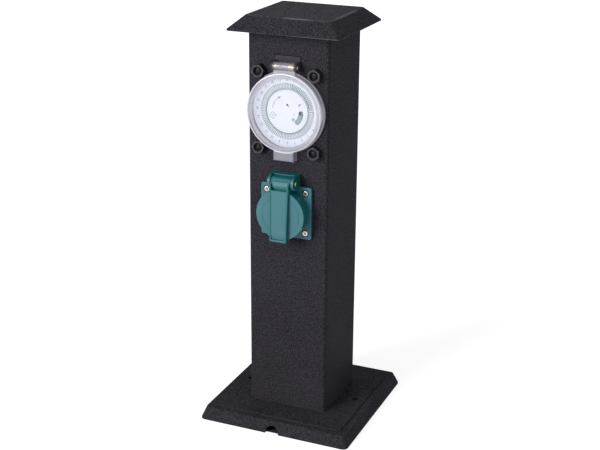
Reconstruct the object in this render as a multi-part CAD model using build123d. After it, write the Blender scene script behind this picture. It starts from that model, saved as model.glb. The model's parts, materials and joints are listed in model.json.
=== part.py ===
from build123d import *
import os
from math import cos, pi, radians, sin, sqrt

# Garden socket post: a hollow square column on a wide base plate, with a roof cap, a dial
# timer under a clear lid and one socket under a green lid. Millimetres, +Z up, origin at the
# middle of the base plate's underside. The front, with the timer and the socket, faces -Y.

# Driving dimensions of the housing
post_height = 390.0
column_side = 78.0
column_wall = 3.0
column_corner_r = 3.0
column_inner_r = 1.0
base_side = 152.0
base_corner_r = 5.0
base_lip_height = 1.5
shoulder_inset = 4.15
shoulder_side = base_side - 2 * shoulder_inset
shoulder_corner_r = 4.4
shoulder_z = 11.8
platform_inset = 10.25
platform_side = base_side - 2 * platform_inset
platform_corner_r = 3.5
platform_z = 13.0
platform_edge_r = 0.6
base_wall = 3.0
cap_overhang = 15.0
cap_rim_side = column_side + 2 * cap_overhang
cap_rim_r = 4.0
cap_rim_height = 1.3
cap_top_overhang = 1.85
cap_top_side = column_side + 2 * cap_top_overhang
cap_top_r = 3.0
cap_slope_height = 11.9
cap_wall = 2.5
cap_edge_r = 1.6

# Clearances shared by all pieces
seat_gap = 0.3
slip_gap = 0.2
running_gap = 0.05
overrun = 1.0

# Shares of a screw head's and a gear's own sizes
head_round_share = 0.45
cross_length_share = 1.2
cross_width_share = 0.28
tooth_tip_share = 0.7
tooth_root_share = 0.9
tooth_tip_half_share = 0.38
tooth_root_half_share = 0.95

# Worked out from the housing
face_y = -column_side / 2
inner_face_y = face_y + column_wall
column_bore = column_side - 2 * column_wall
roof_z = post_height - cap_wall
cap_rim_z = post_height - cap_slope_height - cap_rim_height

# Corner posts, screws and snap hooks that hold column, base and cap together
corner_post_side = 12.0
corner_post_height = 30.0
corner_post_x = column_bore / 2 - corner_post_side / 2
base_screw_r = 1.95
base_screw_pilot_r = 2.05
base_screw_length = 30.0
base_screw_head_r = 3.6
base_screw_head_height = 2.2
base_screw_boss_r = 6.0
base_screw_seat_z = 3.0
locating_rib_length = 30.0
locating_rib_height = 6.0
locating_rib_thickness = 2.0
cap_spigot_depth = 8.0
cap_spigot_wall = 2.0
snap_ledge_width = 20.0
snap_ledge_depth = 1.4
snap_ledge_height = 1.5
snap_ledge_drop = 12.0
snap_arm_width = 16.0
snap_arm_thickness = 1.9
snap_barb_height = 2.2

# Base plate details
fixing_hole_inset = 19.5
fixing_hole_spacing = base_side - 2 * fixing_hole_inset
fixing_hole_r = 3.25
fixing_boss_r = 6.5
stiffening_rib_thickness = 2.0
stiffening_rib_gap = 18.0
cable_notch_r = 6.75
cable_notch_height = 7.6
inlet_hole_r = 6.5
inlet_y = -15.0
grommet_bore_r = 4.1
grommet_flange_r = 8.5
grommet_flange_thickness = 1.5

# Timer: places on the column
timer_drop = 83.5
timer_z = post_height - timer_drop
timer_opening_r = 34.0
nut_spacing_x = 54.0
nut_spacing_z = 70.0
stud_r = 3.0
stud_hole_r = 3.3
stud_head_r = 4.4
stud_head_height = 1.6
stud_dome_height = 1.6
stud_recess = 1.3
nut_flats = 11.0
nut_height = 6.5
nut_chamfer = 0.7
nut_counterbore_r = 4.15
nut_counterbore_depth = 2.4
nut_turns = (12.0, 24.0, 3.0, 30.0)

# Timer frame, the black moulding behind the wall
frame_gasket_thickness = 1.0
frame_side_gap = 1.0
frame_width = column_bore - 2 * frame_side_gap
frame_drop = 41.0
frame_rise = 54.5
frame_low_z = timer_z - frame_drop
frame_high_z = timer_z + frame_rise
frame_thickness = 3.0
frame_corner_r = 6.0
collar_outer_r = 33.8
collar_inner_r = 32.4
collar_ahead = 1.0
bezel_outer_r = 33.9
bezel_gap = 0.15
bezel_thickness = 0.3
bracket_width = 24.0
bracket_top_rise = 49.8
bracket_bottom_rise = 31.5
bracket_step_rise = 37.9
bracket_top_z = timer_z + bracket_top_rise
bracket_bottom_z = timer_z + bracket_bottom_rise
bracket_step_z = timer_z + bracket_step_rise
bracket_ahead = 0.5
notch_gap = 0.5
frame_screw_depth = 2.5
ear_thickness = 1.6
ear_r = 4.0
ear_root_low_rise = 38.1
ear_root_high_rise = 45.9
ear_root_low_z = timer_z + ear_root_low_rise
ear_root_high_z = timer_z + ear_root_high_rise

# Timer lid hinge and the clear lid
timer_hinge_ahead = 7.0
timer_hinge_rise = 41.5
timer_hinge_y = face_y - timer_hinge_ahead
timer_hinge_z = timer_z + timer_hinge_rise
timer_pin_r = 1.5
pin_head_r = 1.95
pin_head_thickness = 0.8
pin_edge = 0.25
knuckle_r = 3.9
knuckle_bore_r = 3.05
knuckle_end_wall = 1.2
bush_r = 2.7
bush_wide = 4.6
bush_narrow = 2.0
lid_outer_r = 36.9
lid_front_r = 36.1
lid_wall = 1.9
lid_front_ahead = 10.5
lid_flange_depth = 2.2
lid_seal_thickness = 1.0
lid_seal_width = 1.5
lid_rim_width = 2.4
lid_rim_relief = 0.6
lid_edge_r = 1.2
lid_tab_width = 19.6
lid_tab_drop = 43.9
lid_tab_bottom_z = timer_z - lid_tab_drop
lid_tab_depth = 9.0
lid_tab_wall = 1.8
lid_tab_edge = 0.6
lid_neck_thickness = 3.0
lid_spring_wire_r = 0.3
lid_spring_r = 2.1
lid_spring_pitch = 1.07
lid_spring_turns = 10

# Dial, tappets and centre face
dial_r = 31.9
dial_front_ahead = 1.4
numeral_ring_inner_r = 25.5
tappet_groove_inner_r = 21.1
dial_ring_inner_r = 20.6
dial_groove_depth = 2.2
dial_web_thickness = 1.2
dial_gear_depth = 3.4
dial_gear_module = 0.8
dial_gear_teeth = 68
dial_gear_rim = 1.2
tappet_count = 96
tappet_width = 0.95
tappet_length = 3.9
tappet_front_height = 1.6
tappet_foot_length = 2.2
tappet_travel = 0.7
tappet_slot_gap = 0.1
first_set_tappet = 3
last_set_tappet = 20
sample_tappet = 8
centre_face_r = 20.3
centre_face_thickness = 1.5
centre_face_edge = 0.4
hub_outer_r = 17.4
hub_wall = 1.4
centre_stud_r = 2.5
switch_slot_r = 13.3
switch_slot_half_width = 2.2
switch_slot_low_deg = -43.0
switch_slot_high_deg = -3.0
switch_travel_deg = 14.0
switch_knob_gap = 0.25
switch_knob_ahead = 0.3
switch_disc_r = 15.6
switch_disc_thickness = 2.0
switch_disc_drop = 1.0
face_hole_r = 0.9
face_hole_z = 6.1

# Timer works behind the dial
case_side = 58.0
case_wall = 2.0
case_depth = 34.0
case_boss_r = 2.9
case_boss_offset = 23.5
case_screw_r = 1.2
case_screw_length = 38.5
case_screw_head_r = 2.4
case_screw_head_height = 1.6
cover_thickness = 2.5
pinion_teeth = 10
pinion_angle_deg = 135.0
pinion_gap = 1.2
pinion_width = 2.2
reduction_module = 0.5
reduction_teeth = 24
rotor_teeth = 12
reduction_gear_width = 1.8
reduction_gear_setback = 0.5
shaft_r = 1.0
motor_r = 18.0
motor_depth = 14.0
motor_edge_r = 1.0
motor_bore_depth = 7.0
motor_setback = 6.0
motor_lug_r = 3.4
motor_lug_thickness = 2.0
motor_post_x = 20.0
motor_post_z = 9.0
motor_screw_r = 0.9
motor_screw_length = 5.0
motor_screw_head_r = 1.9
motor_screw_head_height = 1.2
microswitch_width = 20.0
microswitch_depth = 10.0
microswitch_height = 6.5
microswitch_drop = 22.4
lever_length = 16.0
lever_height = 2.4
lever_thickness = 1.2
lever_pivot_x = 6.5
lever_pin_r = 0.6
lever_lug_thickness = 1.2
lever_lug_depth = 2.6
blade_width = 6.3
blade_thickness = 0.8
blade_length = 9.0
connector_length = 7.0
connector_width = 7.6
connector_height = 2.6
blade_drop = 18.0

# Socket: places on the column
socket_drop = 93.0
socket_z = timer_z - socket_drop
socket_opening_r = 21.6
flange_side = 50.0
flange_corner_r = 2.0
flange_thickness = 2.6
flange_edge_r = 0.8
flange_gasket_thickness = 1.0
flange_hole_spacing = 38.0
flange_screw_r = 1.45
flange_screw_hole_r = 1.6
flange_screw_length = 9.0
flange_screw_head_r = 2.85
flange_screw_head_height = 1.9
flange_screw_turns = (20, 55, 10, 40)
flange_counterbore_r = 3.4
flange_counterbore_depth = 1.4
collar_base_r = 22.6
collar_base_depth = 6.6
collar_neck_r = 21.4
well_r = 19.6
well_depth = 17.5
well_mouth_ahead = 15.0
barrel_r = 21.0
barrel_depth = 30.0
rear_cover_thickness = 2.0
rear_cover_spigot_depth = 3.0
rear_cover_spigot_wall = 1.5
insert_thickness = 15.0
contact_spacing = 19.0
contact_hole_r = 2.6
contact_tube_r = 2.45
contact_bore_r = 2.0
contact_depth = 7.5
insert_front_thickness = 3.0
shutter_thickness = 1.5
shutter_width = 6.6
shutter_pin_r = 1.5
shutter_spring_room = 2.6
shutter_spring_r = 2.1
shutter_spring_wire_r = 0.25
shutter_spring_pitch = 0.95
shutter_spring_turns = 2
earth_clip_width = 4.0
earth_clip_thickness = 1.0
earth_clip_reach = 15.0
earth_clip_inset = 1.6
terminal_screw_r = 1.4
terminal_screw_length = 1.2
terminal_screw_head_r = 2.6
terminal_screw_head_height = 1.4

# Socket lid and its hinge
socket_hinge_ahead = 11.0
socket_hinge_rise = 29.7
socket_hinge_y = face_y - socket_hinge_ahead
socket_hinge_z = socket_z + socket_hinge_rise
socket_ear_r = 6.6
socket_ear_thickness = 2.3
socket_ear_gap = 20.6
socket_ear_foot_rise = 21.7
socket_ear_foot_z = socket_z + socket_ear_foot_rise
socket_roof_depth = 4.1
socket_roof_thickness = 1.0
socket_pin_r = 1.5
socket_knuckle_r = 5.6
socket_knuckle_width = 18.8
socket_knuckle_cavity_r = 3.6
socket_knuckle_end_wall = 2.0
socket_lid_r = 23.6
socket_lid_thickness = 1.8
socket_lid_ahead = 17.8
socket_lid_skirt_depth = 5.6
socket_lid_skirt_wall = 1.7
socket_lid_edge_r = 0.9
band_edge_r = 0.45
socket_lid_ring_r = 17.6
socket_lid_ring_width = 1.2
socket_lid_ring_relief = 0.25
socket_seal_thickness = 0.8
band_top_width = 18.8
band_bottom_width = 16.4
band_top_rise = 28.0
band_bottom_drop = 24.2
band_top_ahead = 20.4
band_bottom_ahead = 22.6
band_tab_depth = 8.0
band_rail_width = 1.5
band_recess = 0.4
band_window_top_rise = 31.5
band_slot_top_rise = 26.1
band_slot_bottom_rise = 23.9
band_window_depth = 2.3
band_slot_depth = 4.0
band_foot_top_drop = 17.6
band_foot_bottom_drop = 22.3
band_foot_depth = 1.5
socket_spring_wire_r = 0.4
socket_spring_r = 2.4
socket_spring_pitch = 1.5
socket_spring_turns = 7

# Wiring between the terminal block, the timer and the socket
lead_spacing = 9.5
terminal_block_width = 32.0
terminal_block_depth = 18.0
terminal_block_height = 16.0
terminal_wall_gap = 3.0
terminal_block_y = column_bore / 2 - terminal_wall_gap - terminal_block_depth
terminal_foot_width = 46.0
terminal_foot_height = 4.0
terminal_clamp_width = 6.4
terminal_clamp_depth = 9.0
terminal_clamp_height = 8.0
wire_r = 1.2
wire_bend_r = 6.0
wire_grip_depth = 7.5
wire_row_offset = 2.5
wire_cross_low_z = 60.0
wire_cross_high_z = 90.0
block_screw_r = 1.45
block_screw_length = 9.0
block_screw_head_r = 2.6
block_screw_head_height = 1.6
block_screw_spacing = 38.0


def save(shape, node):
    export_step(shape, "parts/" + node + ".step")


def block(x, y, z):
    """Solid between two corners, given as (low, high) pairs."""
    size = Box(x[1] - x[0], y[1] - y[0], z[1] - z[0])
    return Pos((x[0] + x[1]) / 2, (y[0] + y[1]) / 2, (z[0] + z[1]) / 2) * size


def ahead(sketch, y_back, y_front):
    """Solid of a shape drawn in X and Z, from y_back forward to y_front."""
    plane = Plane(origin=(0, y_back, 0), x_dir=(1, 0, 0), z_dir=(0, -1, 0))
    return extrude(plane * sketch, amount=y_back - y_front)


def across(sketch, x_left, x_right):
    """Solid of a shape drawn in Y and Z, from x_left to x_right."""
    plane = Plane(origin=(x_left, 0, 0), x_dir=(0, 1, 0), z_dir=(1, 0, 0))
    return extrude(plane * sketch, amount=x_right - x_left)


def upward(sketch, z_low, z_high):
    """Solid of a shape drawn in X and Y, from z_low to z_high."""
    return extrude(Pos(0, 0, z_low) * sketch, amount=z_high - z_low)


def rod_y(radius, x, z, y_back, y_front):
    return ahead(Pos(x, z) * Circle(radius), y_back, y_front)


def rod_x(radius, y, z, x_left, x_right):
    return across(Pos(y, z) * Circle(radius), x_left, x_right)


def rod_z(radius, x, y, z_low, z_high):
    return upward(Pos(x, y) * Circle(radius), z_low, z_high)


def square(side, corner_r):
    return RectangleRounded(side, side, corner_r)


def turned(outline, z):
    """Solid of an outline of (radius, y) points, turned about the line x = 0, at height z."""
    return Pos(0, 0, z) * revolve(Polygon(*outline, align=None), axis=Axis.Y)


def tapered(low_side, low_r, low_z, high_side, high_r, high_z):
    low = Pos(0, 0, low_z) * square(low_side, low_r)
    high = Pos(0, 0, high_z) * square(high_side, high_r)
    return loft([low, high])


def screw(shank_r, length, head_r, head_height):
    """Cross-head screw standing on its seat at the origin, with the head above it."""
    head = Pos(0, 0, head_height / 2) * Cylinder(head_r, head_height)
    head = fillet(head.edges().group_by(Axis.Z)[-1], head_height * head_round_share)
    shank = Pos(0, 0, -length / 2) * Cylinder(shank_r, length)
    slot = Box(head_r * cross_length_share, head_r * cross_width_share, head_height)
    cross = slot + Rot(0, 0, 90) * slot
    return head + shank - Pos(0, 0, head_height) * cross


def screw_at(origin, direction, turn, *sizes):
    """A screw whose seat is at origin and whose head points along direction."""
    return Plane(origin=origin, z_dir=direction) * (Rot(0, 0, turn) * screw(*sizes))


def group(solids):
    return Compound(children=list(solids))


def helix_point(radius, pitch, angle):
    """Point and direction on a helix along +Z after turning by angle, in radians."""
    rise = pitch / (2 * pi)
    point = Vector(radius * cos(angle), radius * sin(angle), rise * angle)
    direction = Vector(-radius * sin(angle), radius * cos(angle), rise).normalized()
    return point, direction


def biarc(start, end):
    """Two tangent arcs that join two (point, direction) pairs smoothly."""
    chord = end[0] - start[0]
    both = start[1] + end[1]
    a = 2 * start[1].dot(end[1]) - 2
    b = -2 * chord.dot(both)
    c = chord.dot(chord)
    reach = (-b - sqrt(b * b - 4 * a * c)) / (2 * a)
    first = start[0] + start[1] * reach
    last = end[0] - end[1] * reach
    middle = (first + last) * 0.5
    arcs = [Edge.make_tangent_arc(start[0], start[1], middle)]
    arcs.append(Edge.make_tangent_arc(middle, last - first, end[0]))
    return arcs


def coil(radius, pitch, turns, wire_radius):
    """Helical spring along +Z from the origin, on two arcs for each quarter turn."""
    ends = [helix_point(radius, pitch, i * pi / 2) for i in range(4 * turns + 1)]
    arcs = []
    for start, end in zip(ends, ends[1:]):
        arcs.extend(biarc(start, end))
    profile = Plane(origin=ends[0][0], z_dir=ends[0][1]) * Circle(wire_radius)
    return sweep(profile, path=Wire(arcs))


def coil_gap(radius, pitch, turns, wire_radius):
    """Least gap between the wire's own turns, measured on points along it."""
    steps = 24
    count = steps * turns
    points = [helix_point(radius, pitch, 2 * pi * i / steps)[0] for i in range(count + 1)]
    least = min(
        (points[i] - points[j]).length
        for i in range(0, len(points), 3)
        for j in range(i + steps * 3 // 4, min(len(points), i + 2 * steps))
    )
    return least - 2 * wire_radius


def tooth_outline(teeth, module, phase_deg, inward=False):
    """Closed outline of a gear, or of an internal gear's hole, with one tooth at phase_deg."""
    pitch_r = module * teeth / 2
    sign = -1 if inward else 1
    tip_r = pitch_r + sign * tooth_tip_share * module
    root_r = pitch_r - sign * tooth_root_share * module
    tip_half = tooth_tip_half_share * module
    root_half = tooth_root_half_share * module
    corners = ((root_r, -root_half), (tip_r, -tip_half), (tip_r, tip_half), (root_r, root_half))
    points = []
    for i in range(teeth):
        middle = radians(phase_deg + 360 * i / teeth)
        for radius, half in corners:
            angle = middle + half / radius
            points.append((radius * cos(angle), radius * sin(angle)))
    return Polygon(*points, align=None)


def polar(radius, angle_deg):
    return radius * cos(radians(angle_deg)), radius * sin(radians(angle_deg))


def four_places(half_x, half_z, middle_z):
    return [(x, middle_z + z) for z in (half_z, -half_z) for x in (-half_x, half_x)]


def tube(points, radius, bend_r):
    """Round wire along straight runs with a bend at each inner point."""
    path = FilletPolyline(*points, radius=bend_r)
    plane = Plane(origin=points[0], z_dir=Vector(*points[1]) - Vector(*points[0]))
    return sweep(plane * Circle(radius), path=path)


def base_plate():
    skirt = upward(square(base_side, base_corner_r), 0, base_lip_height)
    skirt += tapered(base_side, base_corner_r, base_lip_height, shoulder_side, shoulder_corner_r, shoulder_z)
    platform = upward(square(platform_side, platform_corner_r), shoulder_z, platform_z)
    platform = fillet(platform.edges().group_by(Axis.Z)[-1], platform_edge_r)
    ceiling_z = platform_z - base_wall
    hollow_low = base_side - 2 * base_wall
    hollow_high = shoulder_side - 2 * base_wall
    hollow = tapered(hollow_low, base_corner_r, 0, hollow_high, shoulder_corner_r, ceiling_z)
    plate = skirt + platform - hollow
    ribs = stiffening_ribs(hollow_high, ceiling_z)
    plate += ribs
    for x in (-corner_post_x, corner_post_x):
        for y in (-corner_post_x, corner_post_x):
            plate += rod_z(base_screw_boss_r, x, y, base_screw_seat_z, ceiling_z)
            plate -= rod_z(base_screw_pilot_r, x, y, 0, platform_z + overrun)
    for x in (-block_screw_spacing / 2, block_screw_spacing / 2):
        plate -= rod_z(block_screw_r + running_gap, x, terminal_row_y, 0, platform_z + overrun)
    for x in (-fixing_hole_spacing / 2, fixing_hole_spacing / 2):
        plate += rod_z(fixing_boss_r, x, 0, 0, ceiling_z)
        plate -= rod_z(fixing_hole_r, x, 0, -overrun, platform_z + overrun)
    plate -= rod_z(inlet_hole_r, 0, inlet_y, 0, platform_z + overrun)
    notch_back_y = -base_side / 2 + 2 * base_wall
    notch_z = cable_notch_height - cable_notch_r
    plate -= rod_y(cable_notch_r, 0, notch_z, notch_back_y, -base_side / 2 - overrun)
    return plate + locating_ribs()


def stiffening_ribs(hollow_side, ceiling_z):
    """Ribs under the platform, through the screw bosses, open where the cable runs."""
    half = hollow_side / 2
    ribs = []
    for place in (-corner_post_x, corner_post_x):
        side = (place - stiffening_rib_thickness / 2, place + stiffening_rib_thickness / 2)
        ribs.append(block(side, (-half, half), (base_screw_seat_z, ceiling_z)))
        for x in ((-half, -stiffening_rib_gap / 2), (stiffening_rib_gap / 2, half)):
            ribs.append(block(x, side, (base_screw_seat_z, ceiling_z)))
    return ribs


def locating_ribs():
    """Four upright ribs that stand just inside the column's walls."""
    outer = column_bore / 2 - seat_gap
    inner = outer - locating_rib_thickness
    half = locating_rib_length / 2
    height = (platform_z, platform_z + locating_rib_height)
    ribs = []
    for sign in (-1, 1):
        band = sorted((sign * inner, sign * outer))
        ribs.append(block(band, (-half, half), height))
        ribs.append(block((-half, half), band, height))
    return ribs


def inlet_grommet():
    low = platform_z - base_wall
    bore = grommet_bore_r
    flange = grommet_flange_r
    thick = grommet_flange_thickness
    body = rod_z(inlet_hole_r, 0, inlet_y, low, platform_z)
    body += rod_z(flange, 0, inlet_y, platform_z, platform_z + thick)
    body += rod_z(flange, 0, inlet_y, low - thick, low)
    return body - rod_z(bore, 0, inlet_y, low - thick - overrun, platform_z + thick + overrun)


def base_screws():
    sizes = (base_screw_r, base_screw_length, base_screw_head_r, base_screw_head_height)
    screws = []
    for x in (-corner_post_x, corner_post_x):
        for y in (-corner_post_x, corner_post_x):
            screws.append(screw_at((x, y, base_screw_seat_z), (0, 0, -1), 0, *sizes))
    return group(screws)


def column_tube():
    tube = square(column_side, column_corner_r) - square(column_bore, column_inner_r)
    column = upward(tube, platform_z, roof_z)
    half = column_bore / 2
    post_top_z = platform_z + corner_post_height
    for x_sign in (-1, 1):
        for y_sign in (-1, 1):
            x = sorted((x_sign * half, x_sign * (half - corner_post_side)))
            y = sorted((y_sign * half, y_sign * (half - corner_post_side)))
            column += block(x, y, (platform_z, post_top_z))
            bore_x = x_sign * corner_post_x
            bore_y = y_sign * corner_post_x
            column -= rod_z(base_screw_pilot_r, bore_x, bore_y, platform_z - overrun, post_top_z + overrun)
    ledge_z = (roof_z - snap_ledge_drop - snap_ledge_height, roof_z - snap_ledge_drop)
    for sign in (-1, 1):
        x = sorted((sign * half, sign * (half - snap_ledge_depth)))
        column += block(x, (-snap_ledge_width / 2, snap_ledge_width / 2), ledge_z)
    return column - timer_openings() - socket_openings()


def timer_openings():
    through = (inner_face_y + overrun, face_y - overrun)
    cut = rod_y(timer_opening_r, 0, timer_z, *through)
    half = bracket_width / 2 + notch_gap
    cut += block((-half, half), through[::-1], (timer_z, bracket_top_z + notch_gap))
    for x, z in nut_places():
        cut += rod_y(stud_hole_r, x, z, *through)
    return cut


def socket_openings():
    through = (inner_face_y + overrun, face_y - overrun)
    cut = rod_y(socket_opening_r, 0, socket_z, *through)
    for x, z in flange_screw_places():
        cut += rod_y(flange_screw_hole_r, x, z, *through)
    return cut


def nut_places():
    return four_places(nut_spacing_x / 2, nut_spacing_z / 2, timer_z)


def flange_screw_places():
    return four_places(flange_hole_spacing / 2, flange_hole_spacing / 2, socket_z)


def case_screw_places():
    return four_places(case_boss_offset, case_boss_offset, timer_z)


def roof_cap():
    slope_z = cap_rim_z + cap_rim_height
    shell = upward(square(cap_rim_side, cap_rim_r), cap_rim_z, slope_z)
    slope = tapered(cap_rim_side, cap_rim_r, slope_z, cap_top_side, cap_top_r, post_height)
    shell += fillet(slope.edges().group_by(Axis.Z)[-1], cap_edge_r)
    hollow_low = cap_rim_side - 2 * cap_wall
    rise_share = (roof_z - slope_z) / cap_slope_height
    outer_high = cap_rim_side + (cap_top_side - cap_rim_side) * rise_share
    hollow_high = outer_high - 2 * cap_wall
    hollow = upward(square(hollow_low, cap_rim_r), cap_rim_z - overrun, cap_rim_z)
    hollow += tapered(hollow_low, cap_rim_r, cap_rim_z, hollow_high, cap_top_r, roof_z)
    shell -= hollow
    spigot_side = column_bore - 2 * seat_gap
    ring = square(spigot_side, column_corner_r) - square(spigot_side - 2 * cap_spigot_wall, column_inner_r)
    shell += upward(ring, roof_z - cap_spigot_depth, roof_z)
    return shell + snap_hooks()


def snap_hooks():
    """Two arms on the cap whose barbs catch under the ledges in the column."""
    arm_outer = column_bore / 2 - snap_ledge_depth - slip_gap
    arm_inner = arm_outer - snap_arm_thickness
    barb_outer = column_bore / 2 - seat_gap
    barb_top_z = roof_z - snap_ledge_drop - snap_ledge_height - seat_gap
    barb_low_z = barb_top_z - snap_barb_height
    y = (-snap_arm_width / 2, snap_arm_width / 2)
    hooks = []
    for sign in (-1, 1):
        hooks.append(block(sorted((sign * arm_inner, sign * arm_outer)), y, (barb_low_z, roof_z)))
        hooks.append(block(sorted((sign * arm_inner, sign * barb_outer)), y, (barb_low_z, barb_top_z)))
    return hooks


frame_front_y = inner_face_y + frame_gasket_thickness
frame_back_y = frame_front_y + frame_thickness
dial_front_y = face_y - dial_front_ahead
dial_web_y = dial_front_y + dial_groove_depth
dial_web_back_y = dial_web_y + dial_web_thickness
case_front_y = frame_back_y
case_inner_y = case_front_y + case_wall
case_back_y = case_front_y + case_depth
pinion_r = dial_gear_module * pinion_teeth / 2
pinion_offset = dial_gear_module * dial_gear_teeth / 2 - pinion_r
pinion_x, pinion_z = polar(pinion_offset, pinion_angle_deg)
rotor_offset = pinion_offset - reduction_module * (reduction_teeth + rotor_teeth) / 2
rotor_x, rotor_z = polar(rotor_offset, pinion_angle_deg)
motor_front_y = case_inner_y + motor_setback
hub_inner_r = hub_outer_r - hub_wall
lever_z = timer_z - microswitch_drop
lever_pivot_y = case_front_y - lever_lug_depth / 2
lever_reach = lever_height / 2 + slip_gap + lever_lug_thickness


def frame_outline():
    middle_z = (frame_low_z + frame_high_z) / 2
    return Pos(0, middle_z) * RectangleRounded(frame_width, frame_high_z - frame_low_z, frame_corner_r)


def timer_frame():
    """Plate behind the wall with a collar round the dial and the bracket of the lid's hinge."""
    frame = ahead(frame_outline(), frame_back_y, frame_front_y)
    collar = Pos(0, timer_z) * Circle(collar_outer_r)
    frame += ahead(collar, frame_back_y, face_y - collar_ahead)
    half = bracket_width / 2
    bracket_front_y = face_y - bracket_ahead
    frame += block((-half, half), (face_y, frame_back_y), (bracket_bottom_z, bracket_step_z))
    frame += block((-half, half), (bracket_front_y, frame_back_y), (bracket_step_z, bracket_top_z))
    frame -= rod_y(collar_inner_r, 0, timer_z, frame_back_y + overrun, bracket_front_y - overrun)
    ear = Pos(timer_hinge_y, timer_hinge_z) * Circle(ear_r)
    ear += Polygon(
        (timer_hinge_y, timer_hinge_z - ear_r),
        (bracket_front_y, ear_root_low_z),
        (bracket_front_y, ear_root_high_z),
        (timer_hinge_y, timer_hinge_z + ear_r),
        align=None,
    )
    ear -= Pos(timer_hinge_y, timer_hinge_z) * Circle(timer_pin_r + running_gap)
    for x in (-half, half - ear_thickness):
        frame += across(ear, x, x + ear_thickness)
    for x, z in nut_places():
        frame -= rod_y(stud_r + running_gap, x, z, frame_back_y + overrun, frame_front_y - overrun)
    for x, z in case_screw_places():
        frame -= rod_y(case_screw_r + running_gap, x, z, frame_back_y + overrun, frame_back_y - frame_screw_depth)
    return frame


def dial_bezel():
    """Flat pale ring round the dial, on the front of the frame's collar."""
    ring = Circle(bezel_outer_r) - Circle(dial_r + bezel_gap)
    back_y = face_y - collar_ahead
    return ahead(Pos(0, timer_z) * ring, back_y, back_y - bezel_thickness)


def timer_gasket():
    """Flat foam gasket between the frame and the inside of the wall."""
    gasket = ahead(frame_outline(), frame_front_y, inner_face_y)
    gasket -= rod_y(timer_opening_r, 0, timer_z, frame_front_y + overrun, inner_face_y - overrun)
    half = bracket_width / 2 + notch_gap
    notch_z = (timer_z, bracket_top_z + notch_gap)
    gasket -= block((-half, half), (inner_face_y - overrun, frame_front_y + overrun), notch_z)
    for x, z in nut_places():
        gasket -= rod_y(stud_hole_r, x, z, frame_front_y + overrun, inner_face_y - overrun)
    return gasket


def timer_studs():
    """Bolts pushed through the frame from behind, with domed ends in the nuts."""
    studs = []
    tip_y = face_y - nut_height + stud_recess
    for x, z in nut_places():
        stud = rod_y(stud_r, x, z, frame_back_y, tip_y)
        tip = stud.edges().group_by(Axis.Y)[0]
        stud = fillet(tip, stud_dome_height)
        studs.append(stud + rod_y(stud_head_r, x, z, frame_back_y + stud_head_height, frame_back_y))
    return group(studs)


def hex_nuts():
    nuts = []
    corner_r = nut_flats / sqrt(3)
    front_y = face_y - nut_height
    for (x, z), turn in zip(nut_places(), nut_turns):
        hexagon = Pos(x, z) * (Rot(0, 0, turn) * RegularPolygon(corner_r, 6))
        nut = ahead(hexagon, face_y, front_y)
        cone = Cone(corner_r + nut_height, corner_r - nut_chamfer, nut_height + nut_chamfer)
        cone_y = face_y - (nut_height - nut_chamfer) / 2
        nut = nut & (Plane(origin=(x, cone_y, z), z_dir=(0, -1, 0)) * cone)
        nut -= rod_y(stud_r + running_gap, x, z, face_y + overrun, front_y - overrun)
        nut -= rod_y(nut_counterbore_r, x, z, front_y + nut_counterbore_depth, front_y - overrun)
        nuts.append(nut)
    return group(nuts)


def dial_ring():
    """Turning ring: numeral band, tappet groove, web and the internal gear behind it."""
    gear_pitch_r = dial_gear_module * dial_gear_teeth / 2
    skirt_r = gear_pitch_r + dial_gear_module * 0.9 + dial_gear_rim
    outline = (
        (hub_outer_r + running_gap, dial_web_back_y),
        (dial_r, dial_web_back_y),
        (dial_r, dial_front_y),
        (numeral_ring_inner_r, dial_front_y),
        (numeral_ring_inner_r, dial_web_y),
        (tappet_groove_inner_r, dial_web_y),
        (tappet_groove_inner_r, dial_front_y),
        (dial_ring_inner_r, dial_front_y),
        (dial_ring_inner_r, dial_web_y),
        (hub_outer_r + running_gap, dial_web_y),
    )
    ring = turned(outline, timer_z)
    phase = pinion_angle_deg + 180 / dial_gear_teeth
    teeth = Circle(skirt_r) - tooth_outline(dial_gear_teeth, dial_gear_module, phase, inward=True)
    ring += ahead(Pos(0, timer_z) * teeth, dial_web_back_y + dial_gear_depth, dial_web_back_y)
    slot = Rectangle(tappet_foot_length + 2 * tappet_slot_gap, tappet_width + 2 * tappet_slot_gap)
    slots = [tappet_place(i) * slot for i in range(tappet_count)]
    return ring - ahead(Sketch(children=slots), dial_web_back_y + overrun, dial_web_y - overrun)


def tappet_place(index):
    """Place of a tappet on the dial, in X and Z, counted clockwise from the top."""
    middle_r = (tappet_groove_inner_r + numeral_ring_inner_r) / 2
    angle = 90 - 360 * (index + 0.5) / tappet_count
    return Pos(0, timer_z) * Rot(0, 0, angle) * Pos(middle_r, 0)


def tappet(index):
    pushed = first_set_tappet <= index <= last_set_tappet
    front_y = dial_front_y + (tappet_travel if pushed else 0)
    foot_y = front_y + dial_groove_depth + dial_web_thickness
    bar = tappet_place(index) * Rectangle(tappet_length, tappet_width)
    foot = tappet_place(index) * Rectangle(tappet_foot_length, tappet_width)
    return ahead(bar, front_y + tappet_front_height - slip_gap, front_y) + ahead(foot, foot_y, front_y)


def tappets():
    return group(tappet(i) for i in range(tappet_count) if i != sample_tappet)


def arc_slot(low_deg, high_deg, half_width):
    """Kidney outline along the switch's circle, about the dial's middle."""
    inner = switch_slot_r - half_width
    outer = switch_slot_r + half_width
    middle_deg = (low_deg + high_deg) / 2
    low_end = polar(switch_slot_r, low_deg)
    high_end = polar(switch_slot_r, high_deg)
    arcs = [
        ThreePointArc(polar(inner, low_deg), polar(inner, middle_deg), polar(inner, high_deg)),
        ThreePointArc(polar(outer, low_deg), polar(outer, middle_deg), polar(outer, high_deg)),
        Line(polar(inner, low_deg), polar(outer, low_deg)),
        Line(polar(inner, high_deg), polar(outer, high_deg)),
    ]
    band = make_face(arcs)
    return band + Pos(*low_end) * Circle(half_width) + Pos(*high_end) * Circle(half_width)


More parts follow.
